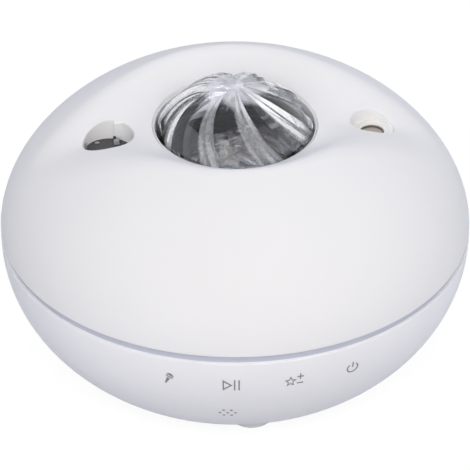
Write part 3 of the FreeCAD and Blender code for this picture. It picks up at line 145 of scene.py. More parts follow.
def cutAway(piece, tool):
    modifier = piece.modifiers.new("cut", "BOOLEAN")
    modifier.operation = "DIFFERENCE"
    modifier.solver = "EXACT"
    modifier.object = tool
    applyAll(piece)
    bpy.data.objects.remove(tool)
    return piece


def cutRod(name, radius, length, base, axis, corners=24):
    # round rod from a cylinder set along an axis, used as a cutter
    selectNothing()
    direction = Vector(axis).normalized()
    middle = Vector(base) + direction * length / 2
    bpy.ops.mesh.primitive_cylinder_add(vertices=corners, radius=radius * mm,
                                        depth=length * mm, location=middle * mm,
                                        rotation=direction.to_track_quat("Z", "Y").to_euler())
    return settle(nameNew(name))


def editMesh(piece, kind):
    # edit mode with nothing selected
    makeActive(piece)
    bpy.ops.object.mode_set(mode="EDIT")
    bpy.ops.mesh.select_mode(type=kind)
    bpy.ops.mesh.select_all(action="DESELECT")
    return bmesh.from_edit_mesh(piece.data)


def faceOutwards(piece):
    editMesh(piece, "FACE")
    leaveEdit()


def joined(name, parts):
    selectNothing()
    for part in parts:
        part.select_set(True)
    bpy.context.view_layer.objects.active = parts[0]
    bpy.ops.object.join()
    return nameNew(name)


# Materials

surface = {"clouds": 38.0, "cloudLow": 0.3, "cloudHigh": 0.7, "glossSpread": 0.12,
           "grainDeep": 0.1, "waveDeep": 0.2}


def newMaterial(name):
    material = bpy.data.materials.new(name)
    material.use_nodes = True
    nodes = material.node_tree.nodes
    return material, nodes, material.node_tree.links, nodes["Principled BSDF"]


def setInputs(node, values):
    for socket, value in values.items():
        node.inputs[socket].default_value = value
    return node


def newNode(nodes, kind, values=None):
    return setInputs(nodes.new("ShaderNode" + kind), values or {})


def noiseOn(nodes, links, scale, detail=3.0):
    place = newNode(nodes, "TexCoord")
    noise = newNode(nodes, "TexNoise", {"Scale": scale, "Detail": detail})
    links.new(place.outputs["Object"], noise.inputs["Vector"])
    return noise


def rampOf(nodes, links, source, stops):
    ramp = newNode(nodes, "ValToRGB")
    points = ramp.color_ramp.elements
    for point, (place, colour) in zip(points, (stops[0], stops[-1])):
        point.position = place
        point.color = (*colour, 1)
    for place, colour in stops[1:-1]:
        points.new(place).color = (*colour, 1)
    links.new(source, ramp.inputs["Fac"])
    return ramp


def cloudTone(nodes, links, shader, clouds, colour, spread):
    # the colour runs a little darker and lighter with the clouds
    low = tuple(max(part * (1 - spread), 0) for part in colour)
    high = tuple(min(part * (1 + spread), 1) for part in colour)
    tone = rampOf(nodes, links, clouds.outputs["Fac"],
                  [(surface["cloudLow"], low), (surface["cloudHigh"], high)])
    links.new(tone.outputs["Color"], shader.inputs["Base Color"])


def roughen(nodes, links, shader, noise, strength, deep):
    relief = newNode(nodes, "Bump", {"Strength": strength, "Distance": deep * mm})
    links.new(noise.outputs["Fac"], relief.inputs["Height"])
    links.new(relief.outputs["Normal"], shader.inputs["Normal"])


def moulded(name, colour, roughness, spread, grain, bump, metal=0.0, specular=0.5):
    # moulded or machined surface: faint tone and gloss variation, fine grain in the bump
    material, nodes, links, shader = newMaterial(name)
    clouds = noiseOn(nodes, links, surface["clouds"])
    cloudTone(nodes, links, shader, clouds, colour, spread)
    span = newNode(nodes, "MapRange", {"To Min": roughness * (1 - surface["glossSpread"]),
                                       "To Max": roughness * (1 + surface["glossSpread"])})
    links.new(clouds.outputs["Fac"], span.inputs["Value"])
    links.new(span.outputs["Result"], shader.inputs["Roughness"])
    roughen(nodes, links, shader, noiseOn(nodes, links, grain, 2.0), bump,
            surface["grainDeep"])
    setInputs(shader, {"Metallic": metal, "Specular IOR Level": specular})
    return material


def clear(name, colour, roughness, spread=0.015, ior=1.49, wave=60.0, bump=0.05):
    # clear plastic with a faint unevenness of its surface
    material, nodes, links, shader = newMaterial(name)
    clouds = noiseOn(nodes, links, wave, 1.0)
    cloudTone(nodes, links, shader, clouds, colour, spread)
    roughen(nodes, links, shader, clouds, bump, surface["waveDeep"])
    setInputs(shader, {"Roughness": roughness, "IOR": ior, "Transmission Weight": 1.0})
    return material


glass = {"clouds": 420.0, "thinFrost": 0.75, "transmission": (1.0, 0.0),
         "roughness": (0.015, 0.3), "clearTone": (0.94, 0.95, 0.985),
         "milkyTone": (0.86, 0.87, 0.9), "ior": 1.46, "specular": 0.25}


def domeGlass(name):
    # clear moulded plastic that turns milky where the piece's frost attribute rises
    material, nodes, links, shader = newMaterial(name)
    haze = newNode(nodes, "Attribute")
    haze.attribute_name = "frost"
    clouds = noiseOn(nodes, links, glass["clouds"], 2.0)
    uneven = newNode(nodes, "MapRange", {
        "From Min": surface["cloudLow"], "From Max": surface["cloudHigh"],
        "To Min": glass["thinFrost"], "To Max": 1.0})
    links.new(clouds.outputs["Fac"], uneven.inputs["Value"])
    milky = newNode(nodes, "Math")
    milky.operation = "MULTIPLY"
    links.new(haze.outputs["Fac"], milky.inputs[0])
    links.new(uneven.outputs["Result"], milky.inputs[1])
    for socket, ends in (("Transmission Weight", glass["transmission"]),
                         ("Roughness", glass["roughness"])):
        span = newNode(nodes, "MapRange", {"To Min": ends[0], "To Max": ends[1]})
        links.new(milky.outputs["Value"], span.inputs["Value"])
        links.new(span.outputs["Result"], shader.inputs[socket])
    tone = rampOf(nodes, links, milky.outputs["Value"],
                  [(0.0, glass["clearTone"]), (1.0, glass["milkyTone"])])
    links.new(tone.outputs["Color"], shader.inputs["Base Color"])
    setInputs(shader, {"IOR": glass["ior"], "Specular IOR Level": glass["specular"]})
    return material


# colour, roughness, tone spread, grain and bump, then metal and specular where they differ
looks = {
    "whiteCrown": ((0.836, 0.828, 0.829), 0.55, 0.006, 2600.0, 0.03, 0.0, 0.15),
    "whiteShell": ((0.868, 0.863, 0.876), 0.55, 0.006, 2600.0, 0.03, 0.0, 0.15),
    # seam plastic: its blue-grey, darker than the shells, is painted shade of the recessed seam
    "seamPlastic": ((0.52, 0.54, 0.62), 0.5, 0.02, 1800.0, 0.04),
    "footSilicone": ((0.8, 0.81, 0.82), 0.55, 0.03, 1500.0, 0.05),
    "blackPlastic": ((0.022, 0.022, 0.026), 0.4, 0.15, 1200.0, 0.06, 0.0, 0.3),
    "darkWindow": ((0.065, 0.066, 0.07), 0.16, 0.2, 420.0, 0.04),
    "pinkLens": ((0.47, 0.41, 0.365), 0.22, 0.05, 800.0, 0.03),
    "creamPlastic": ((0.83, 0.815, 0.79), 0.4, 0.01, 2000.0, 0.03),
    "nylon": ((0.78, 0.78, 0.76), 0.5, 0.03, 1500.0, 0.05),
    "steel": ((0.6, 0.6, 0.61), 0.3, 0.05, 2500.0, 0.08, 1.0),
    "zinc": ((0.68, 0.68, 0.7), 0.25, 0.05, 2500.0, 0.05, 1.0),
    "brass": ((0.72, 0.55, 0.27), 0.28, 0.06, 2500.0, 0.06, 1.0),
    "aluminium": ((0.74, 0.75, 0.77), 0.35, 0.05, 2500.0, 0.08, 1.0),
    "greenBoard": ((0.04, 0.2, 0.09), 0.35, 0.15, 900.0, 0.05),
    "whiteBoard": ((0.8, 0.8, 0.8), 0.4, 0.03, 900.0, 0.04),
    "chipBlack": ((0.045, 0.045, 0.05), 0.55, 0.15, 2500.0, 0.08),
    "ledYellow": ((0.85, 0.72, 0.3), 0.4, 0.06, 2500.0, 0.05),
    "foam": ((0.09, 0.09, 0.09), 0.9, 0.25, 3000.0, 0.4),
    "magnetBlack": ((0.07, 0.07, 0.075), 0.4, 0.15, 1500.0, 0.08),
    "paperCone": ((0.08, 0.08, 0.08), 0.8, 0.25, 3000.0, 0.3),
    "leadBlack": ((0.04, 0.04, 0.045), 0.4, 0.15, 1500.0, 0.05),
    "greyClip": ((0.38, 0.38, 0.385), 0.35, 0.06, 2500.0, 0.04),
    # ring brown: painted shade, dark brown for the foot of the bezel's throat
    "ringBrown": ((0.14, 0.12, 0.105), 0.4, 0.12, 2500.0, 0.05),
    "iconGrey": ((0.25, 0.25, 0.256), 0.5, 0.05, 2500.0, 0.03),
}
finishes = {name: moulded(name, *values) for name, values in looks.items()}
finishes["clearDome"] = domeGlass("clearDome")
finishes["clearLens"] = clear("clearLens", (0.95, 0.96, 0.97), 0.03)


def finishOf(slot):
    # a slot's finish has the slot's name in camel case
    first, *rest = slot.split("_")
    return finishes[first + "".join(word.title() for word in rest)]


for row in frame["record"]["subparts"]:
    node = frame["nodes"][row["node"]]
    node.data.materials.clear()
    node.data.materials.append(finishOf(row["material_slot"]))
print("finishes set:", len(finishes))


def dress(piece, finish, body="housing"):
    piece.data.materials.clear()
    piece.data.materials.append(finishes[finish])
    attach(piece, body)


# Crown: a superellipse turned about Z with a valley across it (mm)

crown = {
    "radius": 82.5, "seam": 50.0, "rise": 55.65, "power": 1.853, "wall": 2.4,
    "valleyFloor": 39.4, "valleyRadius": 28.0, "valleyFlat": 6.0, "troughBend": 230.0,
    "apronSlope": 0.65, "apronAngle": 41.0, "troughAngle": 8.0, "kneePower": 8.0,
    "domeHole": 27.8, "domeLip": 0.6, "collarRadius": 32.0, "collarGap": 2,
    "collarLow": 85.0,
    "steps": 480, "rimRound": 0.4, "lipSpans": 5, "ringReach": 71, "ringStep": 0.55,
    "rimSpans": 62, "rimRoundSpans": 4, "innerSpans": 12, "innerTurn": 78,
    "leftReach": -44.0, "leftBore": 8.7, "leftCollar": 10.7, "leftLow": 77.0,
    "rebate": 9.5, "rebateHigh": 81.2,
    "rightReach": 48.0, "rightBore": 7.4, "rightCollar": 9.6, "rightLow": 78.0,
    "boreLip": 0.9, "boreLipSpans": 6, "patch": 4.2, "patchStep": 0.6, "patchGap": 0.2,
    "patchSteps": 144, "skinLow": 70, "holeMargin": 0.5, "bridgeReach": 4,
    "ridgeFront": (1.6, 8.5), "ridgeBack": (2.6, 3.6), "ridgeReach": 62, "ridgeTurn": 30,
}


def crownRise(radius, wall=0.0):
    share = min(radius / (crown["radius"] - wall), 1)
    rise = crown["rise"] - wall
    return crown["seam"] + rise * (1 - share ** crown["power"]) ** (1 / crown["power"])


def valleyHeight(across, deep):
    start = crown["valleyRadius"]
    reach = max(math.hypot(across, deep), start - crown["valleyFlat"])
    angle = math.degrees(math.atan2(abs(deep), abs(across)))
    bend = crown["troughAngle"]
    ramp = (math.hypot(angle, bend) - bend) / crown["apronAngle"]
    ramp = ramp / (1 + ramp ** crown["kneePower"]) ** (1 / crown["kneePower"])
    trough = -(reach ** 2 - start ** 2) / (2 * crown["troughBend"])
    apron = crown["apronSlope"] * (reach - start)
    return crown["seam"] + crown["valleyFloor"] + (1 - ramp) * trough + ramp * apron


def easeIn(share):
    share = min(max(share, 0), 1)
    return share * share * (3 - 2 * share)


def ridgeBlend(across, deep):
    # the front ridge is crisp by the dome and melts away towards the valley's ends, and
    # the back one stays narrow
    melt = easeIn(abs(across) / crown["ridgeReach"])
    behind = easeIn(deep / crown["ridgeTurn"] + 0.5)
    front, back = (ends[0] * (1 - melt) + ends[1] * melt
                   for ends in (crown["ridgeFront"], crown["ridgeBack"]))
    return front * (1 - behind) + back * behind


def crownHeight(across, deep, hull=None):
    if hull is None:
        hull = crownRise(math.hypot(across, deep))
    valley = valleyHeight(across, deep)
    blend = ridgeBlend(across, deep)
    meet = max(blend - abs(hull - valley), 0) / blend
    return min(hull, valley) - meet * meet * blend / 4


def underHeight(across, deep):
    tilt = math.hypot(1, crown["apronSlope"])
    inner = crownRise(math.hypot(across, deep), crown["wall"])
    return min(inner, valleyHeight(across, deep) - crown["wall"] * tilt)


def makeCrown():
    hole = crown["domeHole"]
    lip = crown["domeLip"]
    floor = crown["seam"] + crown["valleyFloor"]
    outer = bendRound((hole + lip, floor - lip), lip, 180, 90, crown["lipSpans"])
    radius = hole + lip
    while radius < crown["ringReach"]:
        radius += crown["ringStep"]
        outer.append((radius, crownRise(radius)))
    power = crown["power"]
    start = math.acos((radius / crown["radius"]) ** (power / 2))
    for number in range(1, crown["rimSpans"]):
        angle = start * (1 - number / crown["rimSpans"])
        outer.append((crown["radius"] * math.cos(angle) ** (2 / power),
                      crown["seam"] + crown["rise"] * math.sin(angle) ** (2 / power)))
    edge = crown["rimRound"]
    outer = [point for point in outer if point[1] > crown["seam"] + edge]
    outer += bendRound((crown["radius"] - edge, crown["seam"] + edge), edge, 0, -90,
                       crown["rimRoundSpans"])
    wall = crown["wall"]
    inner = []
    for number in range(crown["innerSpans"] + 1):
        angle = math.radians(crown["innerTurn"]) * number / crown["innerSpans"]
        inner.append(((crown["radius"] - wall) * math.cos(angle) ** (2 / power),
                      crown["seam"] + (crown["rise"] - wall) * math.sin(angle) ** (2 / power)))
    inner = [point for point in inner if point[0] > crown["collarRadius"] + crown["collarGap"]]
    tilt = math.hypot(1, crown["apronSlope"])
    collar = [(crown["collarRadius"], floor - wall * tilt),
              (crown["collarRadius"], crown["collarLow"]), (hole, crown["collarLow"])]
    profile = outer + inner + collar + [outer[0]]
    piece = lathe("topShell", profile, crown["steps"])
    for vertex in piece.data.vertices:
        across, deep, high = (part / mm for part in vertex.co)
        radius = math.hypot(across, deep)
        onLip = radius < hole + lip - near
        onCollar = radius < crown["collarRadius"] + near and high < floor - lip - near
        if onLip or onCollar:
            continue
        if abs(high - crownRise(radius, wall)) < near:
            vertex.co.z = underHeight(across, deep) * mm
        elif high > crown["seam"] + 2 * edge:
            vertex.co.z = crownHeight(across, deep, high) * mm
    return piece


# heights that mark a patch's rows until each row is set on the crown
marked = {"skin": 100, "lip": 90, "under": 60}


def openBore(shell, name, reach, bore, collar, low, rebate=None, rebateHigh=None):
    # the shell's skin is opened around the bore, and a turned patch with the bore's wall
    # and its rounded lip is bridged into both skins
    edge = bore + crown["patch"]
    lip = crown["boreLip"]
    mesh = editMesh(shell, "FACE")
    for face in mesh.faces:
        middle = face.calc_center_median() / mm
        inHole = math.hypot(middle.x - reach, middle.y) < edge + crown["holeMargin"]
        if inHole and middle.z > crown["skinLow"]:
            face.select_set(True)
    bmesh.update_edit_mesh(shell.data)
    bpy.ops.mesh.delete(type="FACE")
    bpy.ops.object.mode_set(mode="OBJECT")
    step = crown["patchStep"]
    outer = [(edge - step * number, marked["skin"])
             for number in range(int((edge - bore - lip) / step) + 1)]
    outer = [point for point in outer if point[0] > bore + lip + crown["patchGap"]]
    ring = bendRound((bore + lip, marked["lip"]), lip, 90, 180, crown["boreLipSpans"])
    walls = [(bore, low)]
    if rebate:
        walls = [(bore, rebateHigh), (rebate, rebateHigh), (rebate, low)]
    inner = [(collar, low), (collar, marked["under"]), (edge, marked["under"])]
    patch = lathe(name, outer + ring + walls + inner, crown["patchSteps"], reach)
    for vertex in patch.data.vertices:
        across, deep, high = (part / mm for part in vertex.co)
        radius = math.hypot(across - reach, deep)
        if high > marked["skin"] - near:
            vertex.co.z = crownHeight(across, deep) * mm
        elif high > marked["lip"] - near:
            turned = Vector((across - reach, deep)) / radius * (bore + lip)
            top = crownHeight(reach + turned.x, turned.y)
            vertex.co.z = (top - lip + high - marked["lip"]) * mm
        elif high < marked["under"] + near:
            vertex.co.z = underHeight(across, deep) * mm
    shell = joined(shell.name, [shell, patch])
    for upper in (True, False):
        bridgeNear(shell, reach, edge, upper)
    return shell


def bridgeNear(shell, reach, edge, upper):
    # the patch's rim and the hole's rim are joined, in the outer skin or the inner one
    mesh = editMesh(shell, "EDGE")
    for border in mesh.edges:
        if not border.is_boundary:
            continue
        middle = (border.verts[0].co + border.verts[1].co) / (2 * mm)
        if abs(math.hypot(middle.x - reach, middle.y) - edge) > crown["bridgeReach"]:
            continue
        between = (crownHeight(middle.x, middle.y) + underHeight(middle.x, middle.y)) / 2
        if (middle.z > between) == upper:
            border.select_set(True)
    bmesh.update_edit_mesh(shell.data)
    bpy.ops.mesh.bridge_edge_loops()
    bpy.ops.object.mode_set(mode="OBJECT")


topShell = makeCrown()
topShell = openBore(topShell, "leftPatch", crown["leftReach"], crown["leftBore"],
                    crown["leftCollar"], crown["leftLow"], crown["rebate"],
                    crown["rebateHigh"])
topShell = openBore(topShell, "rightPatch", crown["rightReach"], crown["rightBore"],
                    crown["rightCollar"], crown["rightLow"])
faceOutwards(topShell)
smoothShade(topShell, 40)
dress(topShell, "whiteCrown")
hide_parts("top_shell")
print("crown:", len(topShell.data.polygons), "faces")


# Belly, seam ring and feet (mm)

belly = {"radius": 82.5, "seam": 47.3, "drop": 61.7, "power": 2.03, "base": 2.0,
         "wall": 2.4, "steps": 360, "rimRound": 0.4, "rimRoundSpans": 4, "spans": 60,
         "innerSpans": 14, "toeHigh": 1.0,
         "toe": ((0.0, 0.8), (0.6, 0.35), (1.5, 0.07), (2.4, 0.0))}


def bellyRadius(height, wall=0.0):
    share = (belly["seam"] - height) / (belly["drop"] - wall)
    return (belly["radius"] - wall) * (1 - share ** belly["power"]) ** (1 / belly["power"])


def makeBelly():
    edge = belly["rimRound"]
    base = belly["base"]
    top = belly["seam"] - edge
    outer = bendRound((belly["radius"] - edge, top), edge, 90, 0, belly["rimRoundSpans"])
    for number in range(1, belly["spans"]):
        high = top - (top - base - belly["toeHigh"]) * number / belly["spans"]
        outer.append((bellyRadius(high), high))
    end = bellyRadius(base + belly["toe"][0][1])
    outer += [(end - inward, base + up) for inward, up in belly["toe"]]
    floorHigh = base + belly["wall"]
    inner = [(0, base), (0, floorHigh),
             (bellyRadius(floorHigh + near, belly["wall"]), floorHigh)]
    for number in range(1, belly["innerSpans"] + 1):
        high = floorHigh + (belly["seam"] - floorHigh) * number / belly["innerSpans"]
        inner.append((bellyRadius(high, belly["wall"]), high))
    return lathe("bottomShell", outer + inner + [outer[0]], belly["steps"])


drilled = {"micHeight": 21.1, "micAngle": -8.5, "micPitch": 2.6, "micHole": 0.55,
           "micInward": 4, "micLength": 6, "meshSteps": 24,
           "mesh": ((0, -1.0), (1, -1.0), (1, -0.08), (0.6, -0.03), (0, -0.01)),
           "grillePitch": 4.2, "grilleHole": 1.1, "grilleReach": 15.0, "grillePlace": -12.0,
           "slotWidth": 9.94, "slotHeight": 4.26, "slotMiddle": 25.23, "slotStart": 69.0,
           "slotLength": 15.0, "accessRadius": 3.5, "accessCircle": 49.2,
           "accessAngles": (-90, 30, 150), "spare": 1, "fineCorners": 48}


def honeycomb(pitch, reach):
    places = []
    rows = int(reach / pitch) + 1
    for row in range(-rows, rows + 1):
        for column in range(-2 * rows, 2 * rows + 1):
            across = pitch * (column + row / 2)
            deep = pitch * row * math.sqrt(3) / 2
            if math.hypot(across, deep) <= reach:
                places.append((across, deep))
    return places


def micFrame():
    # the belly's point above the microphone, its level and slope directions and its normal
    angle = math.radians(drilled["micAngle"])
    radius = bellyRadius(drilled["micHeight"])
    drop = belly["seam"] - drilled["micHeight"]
    power = belly["power"]
    outward = radius ** (power - 1) / belly["radius"] ** power
    downward = drop ** (power - 1) / belly["drop"] ** power
    tilt = math.atan2(downward, outward)
    normal = Vector((math.sin(angle) * math.cos(tilt), -math.cos(angle) * math.cos(tilt),
                     -math.sin(tilt)))
    level = Vector((math.cos(angle), math.sin(angle), 0))
    point = Vector((radius * math.sin(angle), -radius * math.cos(angle),
                    drilled["micHeight"]))
    return point, level, normal.cross(level), normal


def drillBelly(shell):
    cutters = []
    low = belly["base"] - drilled["spare"]
    through = belly["wall"] + 2 * drilled["spare"]
    for across, deep in honeycomb(drilled["grillePitch"], drilled["grilleReach"]):
        cutters.append(cutRod("grilleCutter", drilled["grilleHole"], through,
                              (across, deep + drilled["grillePlace"], low), (0, 0, 1)))
    point, level, slope, normal = micFrame()
    for across, deep in honeycomb(drilled["micPitch"], drilled["micPitch"]):
        base = point + level * across + slope * deep - normal * drilled["micInward"]
        cutters.append(cutRod("micCutter", drilled["micHole"], drilled["micLength"], base,
                              normal))
    for angle in drilled["accessAngles"]:
        turned = math.radians(angle)
        circle = drilled["accessCircle"]
        cutters.append(cutRod("accessCutter", drilled["accessRadius"], through,
                              (circle * math.cos(turned), circle * math.sin(turned), low),
                              (0, 0, 1), drilled["fineCorners"]))
    shell = cutAway(shell, joined("cutters", cutters))
    radius = drilled["slotHeight"] / 2
    half = drilled["slotWidth"] / 2 - radius
    ends = [cutRod("slotEnd", radius, drilled["slotLength"],
                   (side * half, drilled["slotStart"], drilled["slotMiddle"]), (0, 1, 0),
                   drilled["fineCorners"])
            for side in (-1, 1)]
    selectNothing()
    bpy.ops.mesh.primitive_cube_add(size=mm)
    middle = nameNew("slotMiddle")
    middle.scale = (2 * half, drilled["slotLength"], drilled["slotHeight"])
    middle.location = Vector((0, drilled["slotStart"] + drilled["slotLength"] / 2,
                              drilled["slotMiddle"])) * mm
    settle(middle)
    for end in ends:
        shell = cutAway(shell, end)
    return cutAway(shell, middle)


def makeMicMesh():
    # dark dust mesh just under the rim of each microphone hole, bulging slightly outwards
    point, level, slope, normal = micFrame()
    turn = Matrix((level, slope, normal)).transposed()
    profile = [(drilled["micHole"] * share, high) for share, high in drilled["mesh"]]
    patches = []
    for across, deep in honeycomb(drilled["micPitch"], drilled["micPitch"]):
        patch = lathe("micPatch", profile + profile[:1], drilled["meshSteps"])
        middle = point + level * across + slope * deep
        # down onto the round belly from the flat plane of the honeycomb
        gap = math.hypot(middle.x, middle.y) - bellyRadius(middle.z)
        middle -= normal * gap * math.hypot(normal.x, normal.y)
        for vertex in patch.data.vertices:
            vertex.co = (middle + turn @ (vertex.co / mm)) * mm
        patches.append(patch)
    return joined("micMesh", patches)


micMesh = makeMicMesh()
smoothShade(micMesh, 40)
dress(micMesh, "blackPlastic")

bottomShell = drillBelly(makeBelly())
smoothShade(bottomShell, 40)
dress(bottomShell, "whiteShell")
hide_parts("bottom_shell")


# Touch marks, printed on the belly (mm). Each one's own entry says its angle round the
# belly, how much taller it is drawn and how far it is raised.

marks = {
    "mic": (-22.5, 1.15, 0.9), "play": (-7.5, 1.25, 0.0), "level": (7.5, 1.22, 0.4),
    "power": (22.5, 1.0, 0.0),
    "height": 37.8, "line": 0.5, "thinLine": 0.44, "proud": 0.08, "sunk": 0.06,
    "lean": -28, "cap": 1.3, "capFlat": 0.75, "capSpans": 12,
    "band": [(-1.32, 0.98), (-1.12, 0.5), (1.12, 0.5), (1.32, 0.98)],
    "grip": [(-0.62, 0.16), (-0.24, -2.5), (0.24, -2.5), (0.62, 0.16)],
    "triangle": [(-2.9, -2.1), (0.45, 0.0), (-2.9, 2.1)],
    "hollow": [(-2.42, -1.22), (-0.47, 0.0), (-2.42, 1.22)],
    "bars": (1.15, 2.65), "barReach": 2.0,
    "starAt": (-1.25, -0.35), "starReach": (2.15, 0.98), "starHollow": 0.62,
    "plusAt": (2.1, 1.25), "plusReach": 1.1, "minus": ((1.0, -1.3), (3.2, -1.3)),
    "ringAt": (0, -0.2), "ringRadius": 2.0, "ringTurn": (128, 412), "ringSpans": 30,
    "upright": ((0, 0.1), (0, 2.5)),
}


def drawLoop(points):
    # the pen goes round a closed outline in the plane, in mm
    bpy.ops.mesh.select_all(action="DESELECT")
    mesh = bmesh.from_edit_mesh(bpy.context.object.data)
    pen = mesh.verts.new((points[0][0] * mm, points[0][1] * mm, 0))
    pen.select_set(True)
    mesh.select_flush(True)
    bmesh.update_edit_mesh(bpy.context.object.data)
    for here, there in zip(points, points[1:] + points[:1]):
        step = Vector((there[0] - here[0], there[1] - here[1], 0)) * mm
        bpy.ops.mesh.extrude_region_move(TRANSFORM_OT_translate={"value": step})


def inkShape(name, loops):
    # a filled outline, or a band between two outlines, with a film's thickness
    piece = openPlane(name)
    bpy.ops.mesh.select_all(action="SELECT")
    bpy.ops.mesh.delete(type="VERT")
    for loop in loops:
        drawLoop(loop)
    weldAll(weld["drawn"])
    bpy.ops.mesh.select_all(action="SELECT")
    if len(loops) == 2:
        bpy.ops.mesh.bridge_edge_loops()
    else:
        bpy.ops.mesh.edge_face_add()
    bpy.ops.mesh.select_all(action="SELECT")
    film = (marks["proud"] + marks["sunk"]) * mm
    bpy.ops.mesh.extrude_region_move(TRANSFORM_OT_translate={"value": (0, 0, film)})
    leaveEdit()
    return piece


def stroke(start, end, width=marks["line"]):
    along = (Vector(end) - Vector(start)).normalized()
    side = Vector((-along.y, along.x)) * width / 2
    corners = [Vector(start) + side, Vector(start) - side, Vector(end) - side,
               Vector(end) + side]
    return [tuple(corner) for corner in corners]


def layOnBelly(piece, angle, tall, raised):
    # across the mark runs round the belly, up the mark runs up its slope
    middle = math.radians(angle)
    radius = bellyRadius(marks["height"])
    rise = bellyRadius(marks["height"] + 1) - bellyRadius(marks["height"] - 1)
    slope = math.hypot(rise / 2, 1)
    for vertex in piece.data.vertices:
        across, up, out = (part / mm for part in vertex.co)
        high = marks["height"] + (up * tall + raised) / slope
        turned = middle + across / radius
        reach = bellyRadius(high) + out - marks["sunk"]
        vertex.co = Vector((reach * math.sin(turned), -reach * math.cos(turned), high)) * mm
    faceOutwards(piece)
    dress(piece, "iconGrey")


def turnedPoints(points, degrees):
    angle = math.radians(degrees)
    return [(x * math.cos(angle) - y * math.sin(angle),
             x * math.sin(angle) + y * math.cos(angle)) for x, y in points]


def printMark(name, shapes):
    # a shape is one filled outline, or two with a band between them
    layOnBelly(joined(name + "Mark", [inkShape(name + "Part", loops) for loops in shapes]),
               *marks[name])


def makeMarks():
    cap = marks["cap"]
    domed = [(x, cap + (y - cap) * marks["capFlat"])
             for x, y in bendRound((0, cap), cap, 0, 180, marks["capSpans"])]
    printMark("mic", [[turnedPoints(part, marks["lean"])]
                      for part in (domed, marks["band"], marks["grip"])])
    reach = marks["barReach"]
    bars = [[stroke((across, -reach), (across, reach))] for across in marks["bars"]]
    printMark("play", [[marks["triangle"], marks["hollow"]], *bars])
    middle = marks["starAt"]
    star = []
    for size in (1, marks["starHollow"]):
        points = []
        for number in range(10):
            angle = math.radians(90 + 36 * number)
            reach = marks["starReach"][number % 2] * size
            points.append((middle[0] + reach * math.cos(angle),
                           middle[1] + reach * math.sin(angle)))
        star.append(points)
    middle = marks["plusAt"]
    reach = marks["plusReach"]
    half = marks["thinLine"] / 2
    corners = [(-half, reach), (-half, half), (-reach, half)]
    plus = []
    for quarter in range(4):
        plus += [(x + middle[0], y + middle[1]) for x, y in corners]
        corners = [(-y, x) for x, y in corners]
    printMark("level", [star, [plus], [stroke(*marks["minus"], marks["thinLine"])]])
    start, end = marks["ringTurn"]
    ring = []
    for half, first, last in ((marks["line"] / 2, start, end), (-marks["line"] / 2, end, start)):
        ring += bendRound(marks["ringAt"], marks["ringRadius"] + half, first, last,
                          marks["ringSpans"])
    printMark("power", [[ring], [stroke(*marks["upright"])]])


makeMarks()
print("touch marks laid on the belly")

seam = {"radius": 81.4, "low": 47.3, "high": 50.0, "tongue": 79.8, "tongueLow": 45.3,
        "tongueHigh": 52.0, "bore": 77.8, "steps": 360}
seamRing = lathe("seamRing", [
    (seam["radius"], seam["low"]), (seam["radius"], seam["high"]),
    (seam["tongue"], seam["high"]), (seam["tongue"], seam["tongueHigh"]),
    (seam["bore"], seam["tongueHigh"]), (seam["bore"], seam["tongueLow"]),
    (seam["tongue"], seam["tongueLow"]), (seam["tongue"], seam["low"]),
    (seam["radius"], seam["low"])], seam["steps"])
# the seam ring's blue-grey finish is painted shade of the recessed seam under the crown's edge
smoothShade(seamRing, 35)
dress(seamRing, "seamPlastic")
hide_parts("seam_ring")

foot = {"radius": 7.5, "circle": 49.2, "height": 2.0, "edge": 0.6, "plug": 3.35,
        "plugHigh": 3.6, "edgeSpans": 5, "steps": 64}
for name, node, angle in (("footFront", "foot_front", -90), ("footRight", "foot_right", 30),
                          ("footLeft", "foot_left", 150)):
    across = foot["circle"] * math.cos(math.radians(angle))
    deep = foot["circle"] * math.sin(math.radians(angle))
    edge = foot["edge"]
    profile = [(0, 0)] + bendRound((foot["radius"] - edge, edge), edge, -90, 0,
                                  foot["edgeSpans"])
    profile += [(foot["radius"], foot["height"]), (foot["plug"], foot["height"]),
                (foot["plug"], foot["plugHigh"]), (0, foot["plugHigh"])]
    pad = lathe(name, profile, foot["steps"], across, deep)
    smoothShade(pad, 35)
    dress(pad, "footSilicone")
    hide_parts(node)
print("belly, seam ring and feet made")


# Inside the left bore: the moulded key on its back wall, two pale clips on the window, a black
# catch painted as shade and a pale nub painted as a glint

bore = {"keyStart": -41.6, "keyFront": 6.8, "keyEnd": -38.2, "keyBack": 9.4, "keyTop": 100,
        "keyEdge": 0.4, "keyDrop": 0.2, "keyLow": 81.22, "edgeSpans": 3}
# lowest and highest corner, edge round, finish, slot and how far the top draws in
clips = {
    "windowClip": ((-41.9, 4.3, 81.1), (-39.8, 6.7, 82.6), 0.2, "greyClip",
                   "cream_plastic", 0.8),
    # black catch: a small block whose black is painted shade in the notch beside the key
    "windowCatch": ((-41.95, 6.0, 81.1), (-40.9, 6.7, 83.3), 0.12, "blackPlastic",
                    "black_plastic", 0.9),
    "windowClipSide": ((-52.5, 3.0, 81.1), (-51.3, 4.4, 83.0), 0.2, "greyClip",
                       "cream_plastic", 0.8),
    # pale nub: its pale colour is a painted glint on the dark window
    "windowNub": ((-48.4, 5.8, 81.1), (-46.7, 6.5, 81.6), 0.15, "greyClip",
                  "cream_plastic", 0.8),
}


def rounded(name, low, high, edge, finish, slot, taper=1.0, flush=None):
    # small moulded block with drawn-in top and rounded edges
    selectNothing()
    bpy.ops.mesh.primitive_cube_add(size=mm)
    piece = nameNew(name)
    piece.scale = [high[axis] - low[axis] for axis in range(3)]
    piece.location = [(high[axis] + low[axis]) / 2 * mm for axis in range(3)]
    settle(piece)
    middle = [(high[axis] + low[axis]) / 2 for axis in range(3)]
    for vertex in piece.data.vertices:
        across, deep, tall = (part / mm for part in vertex.co)
        if tall > middle[2]:
            vertex.co.x = (middle[0] + (across - middle[0]) * taper) * mm
            if flush is not None:
                vertex.co.z = (crownHeight(across, deep) - flush) * mm
    modifier = piece.modifiers.new("edge", "BEVEL")
    modifier.width = edge * mm
    modifier.segments = bore["edgeSpans"]
    applyAll(piece)
    smoothShade(piece, 40)
    dress(piece, finish)


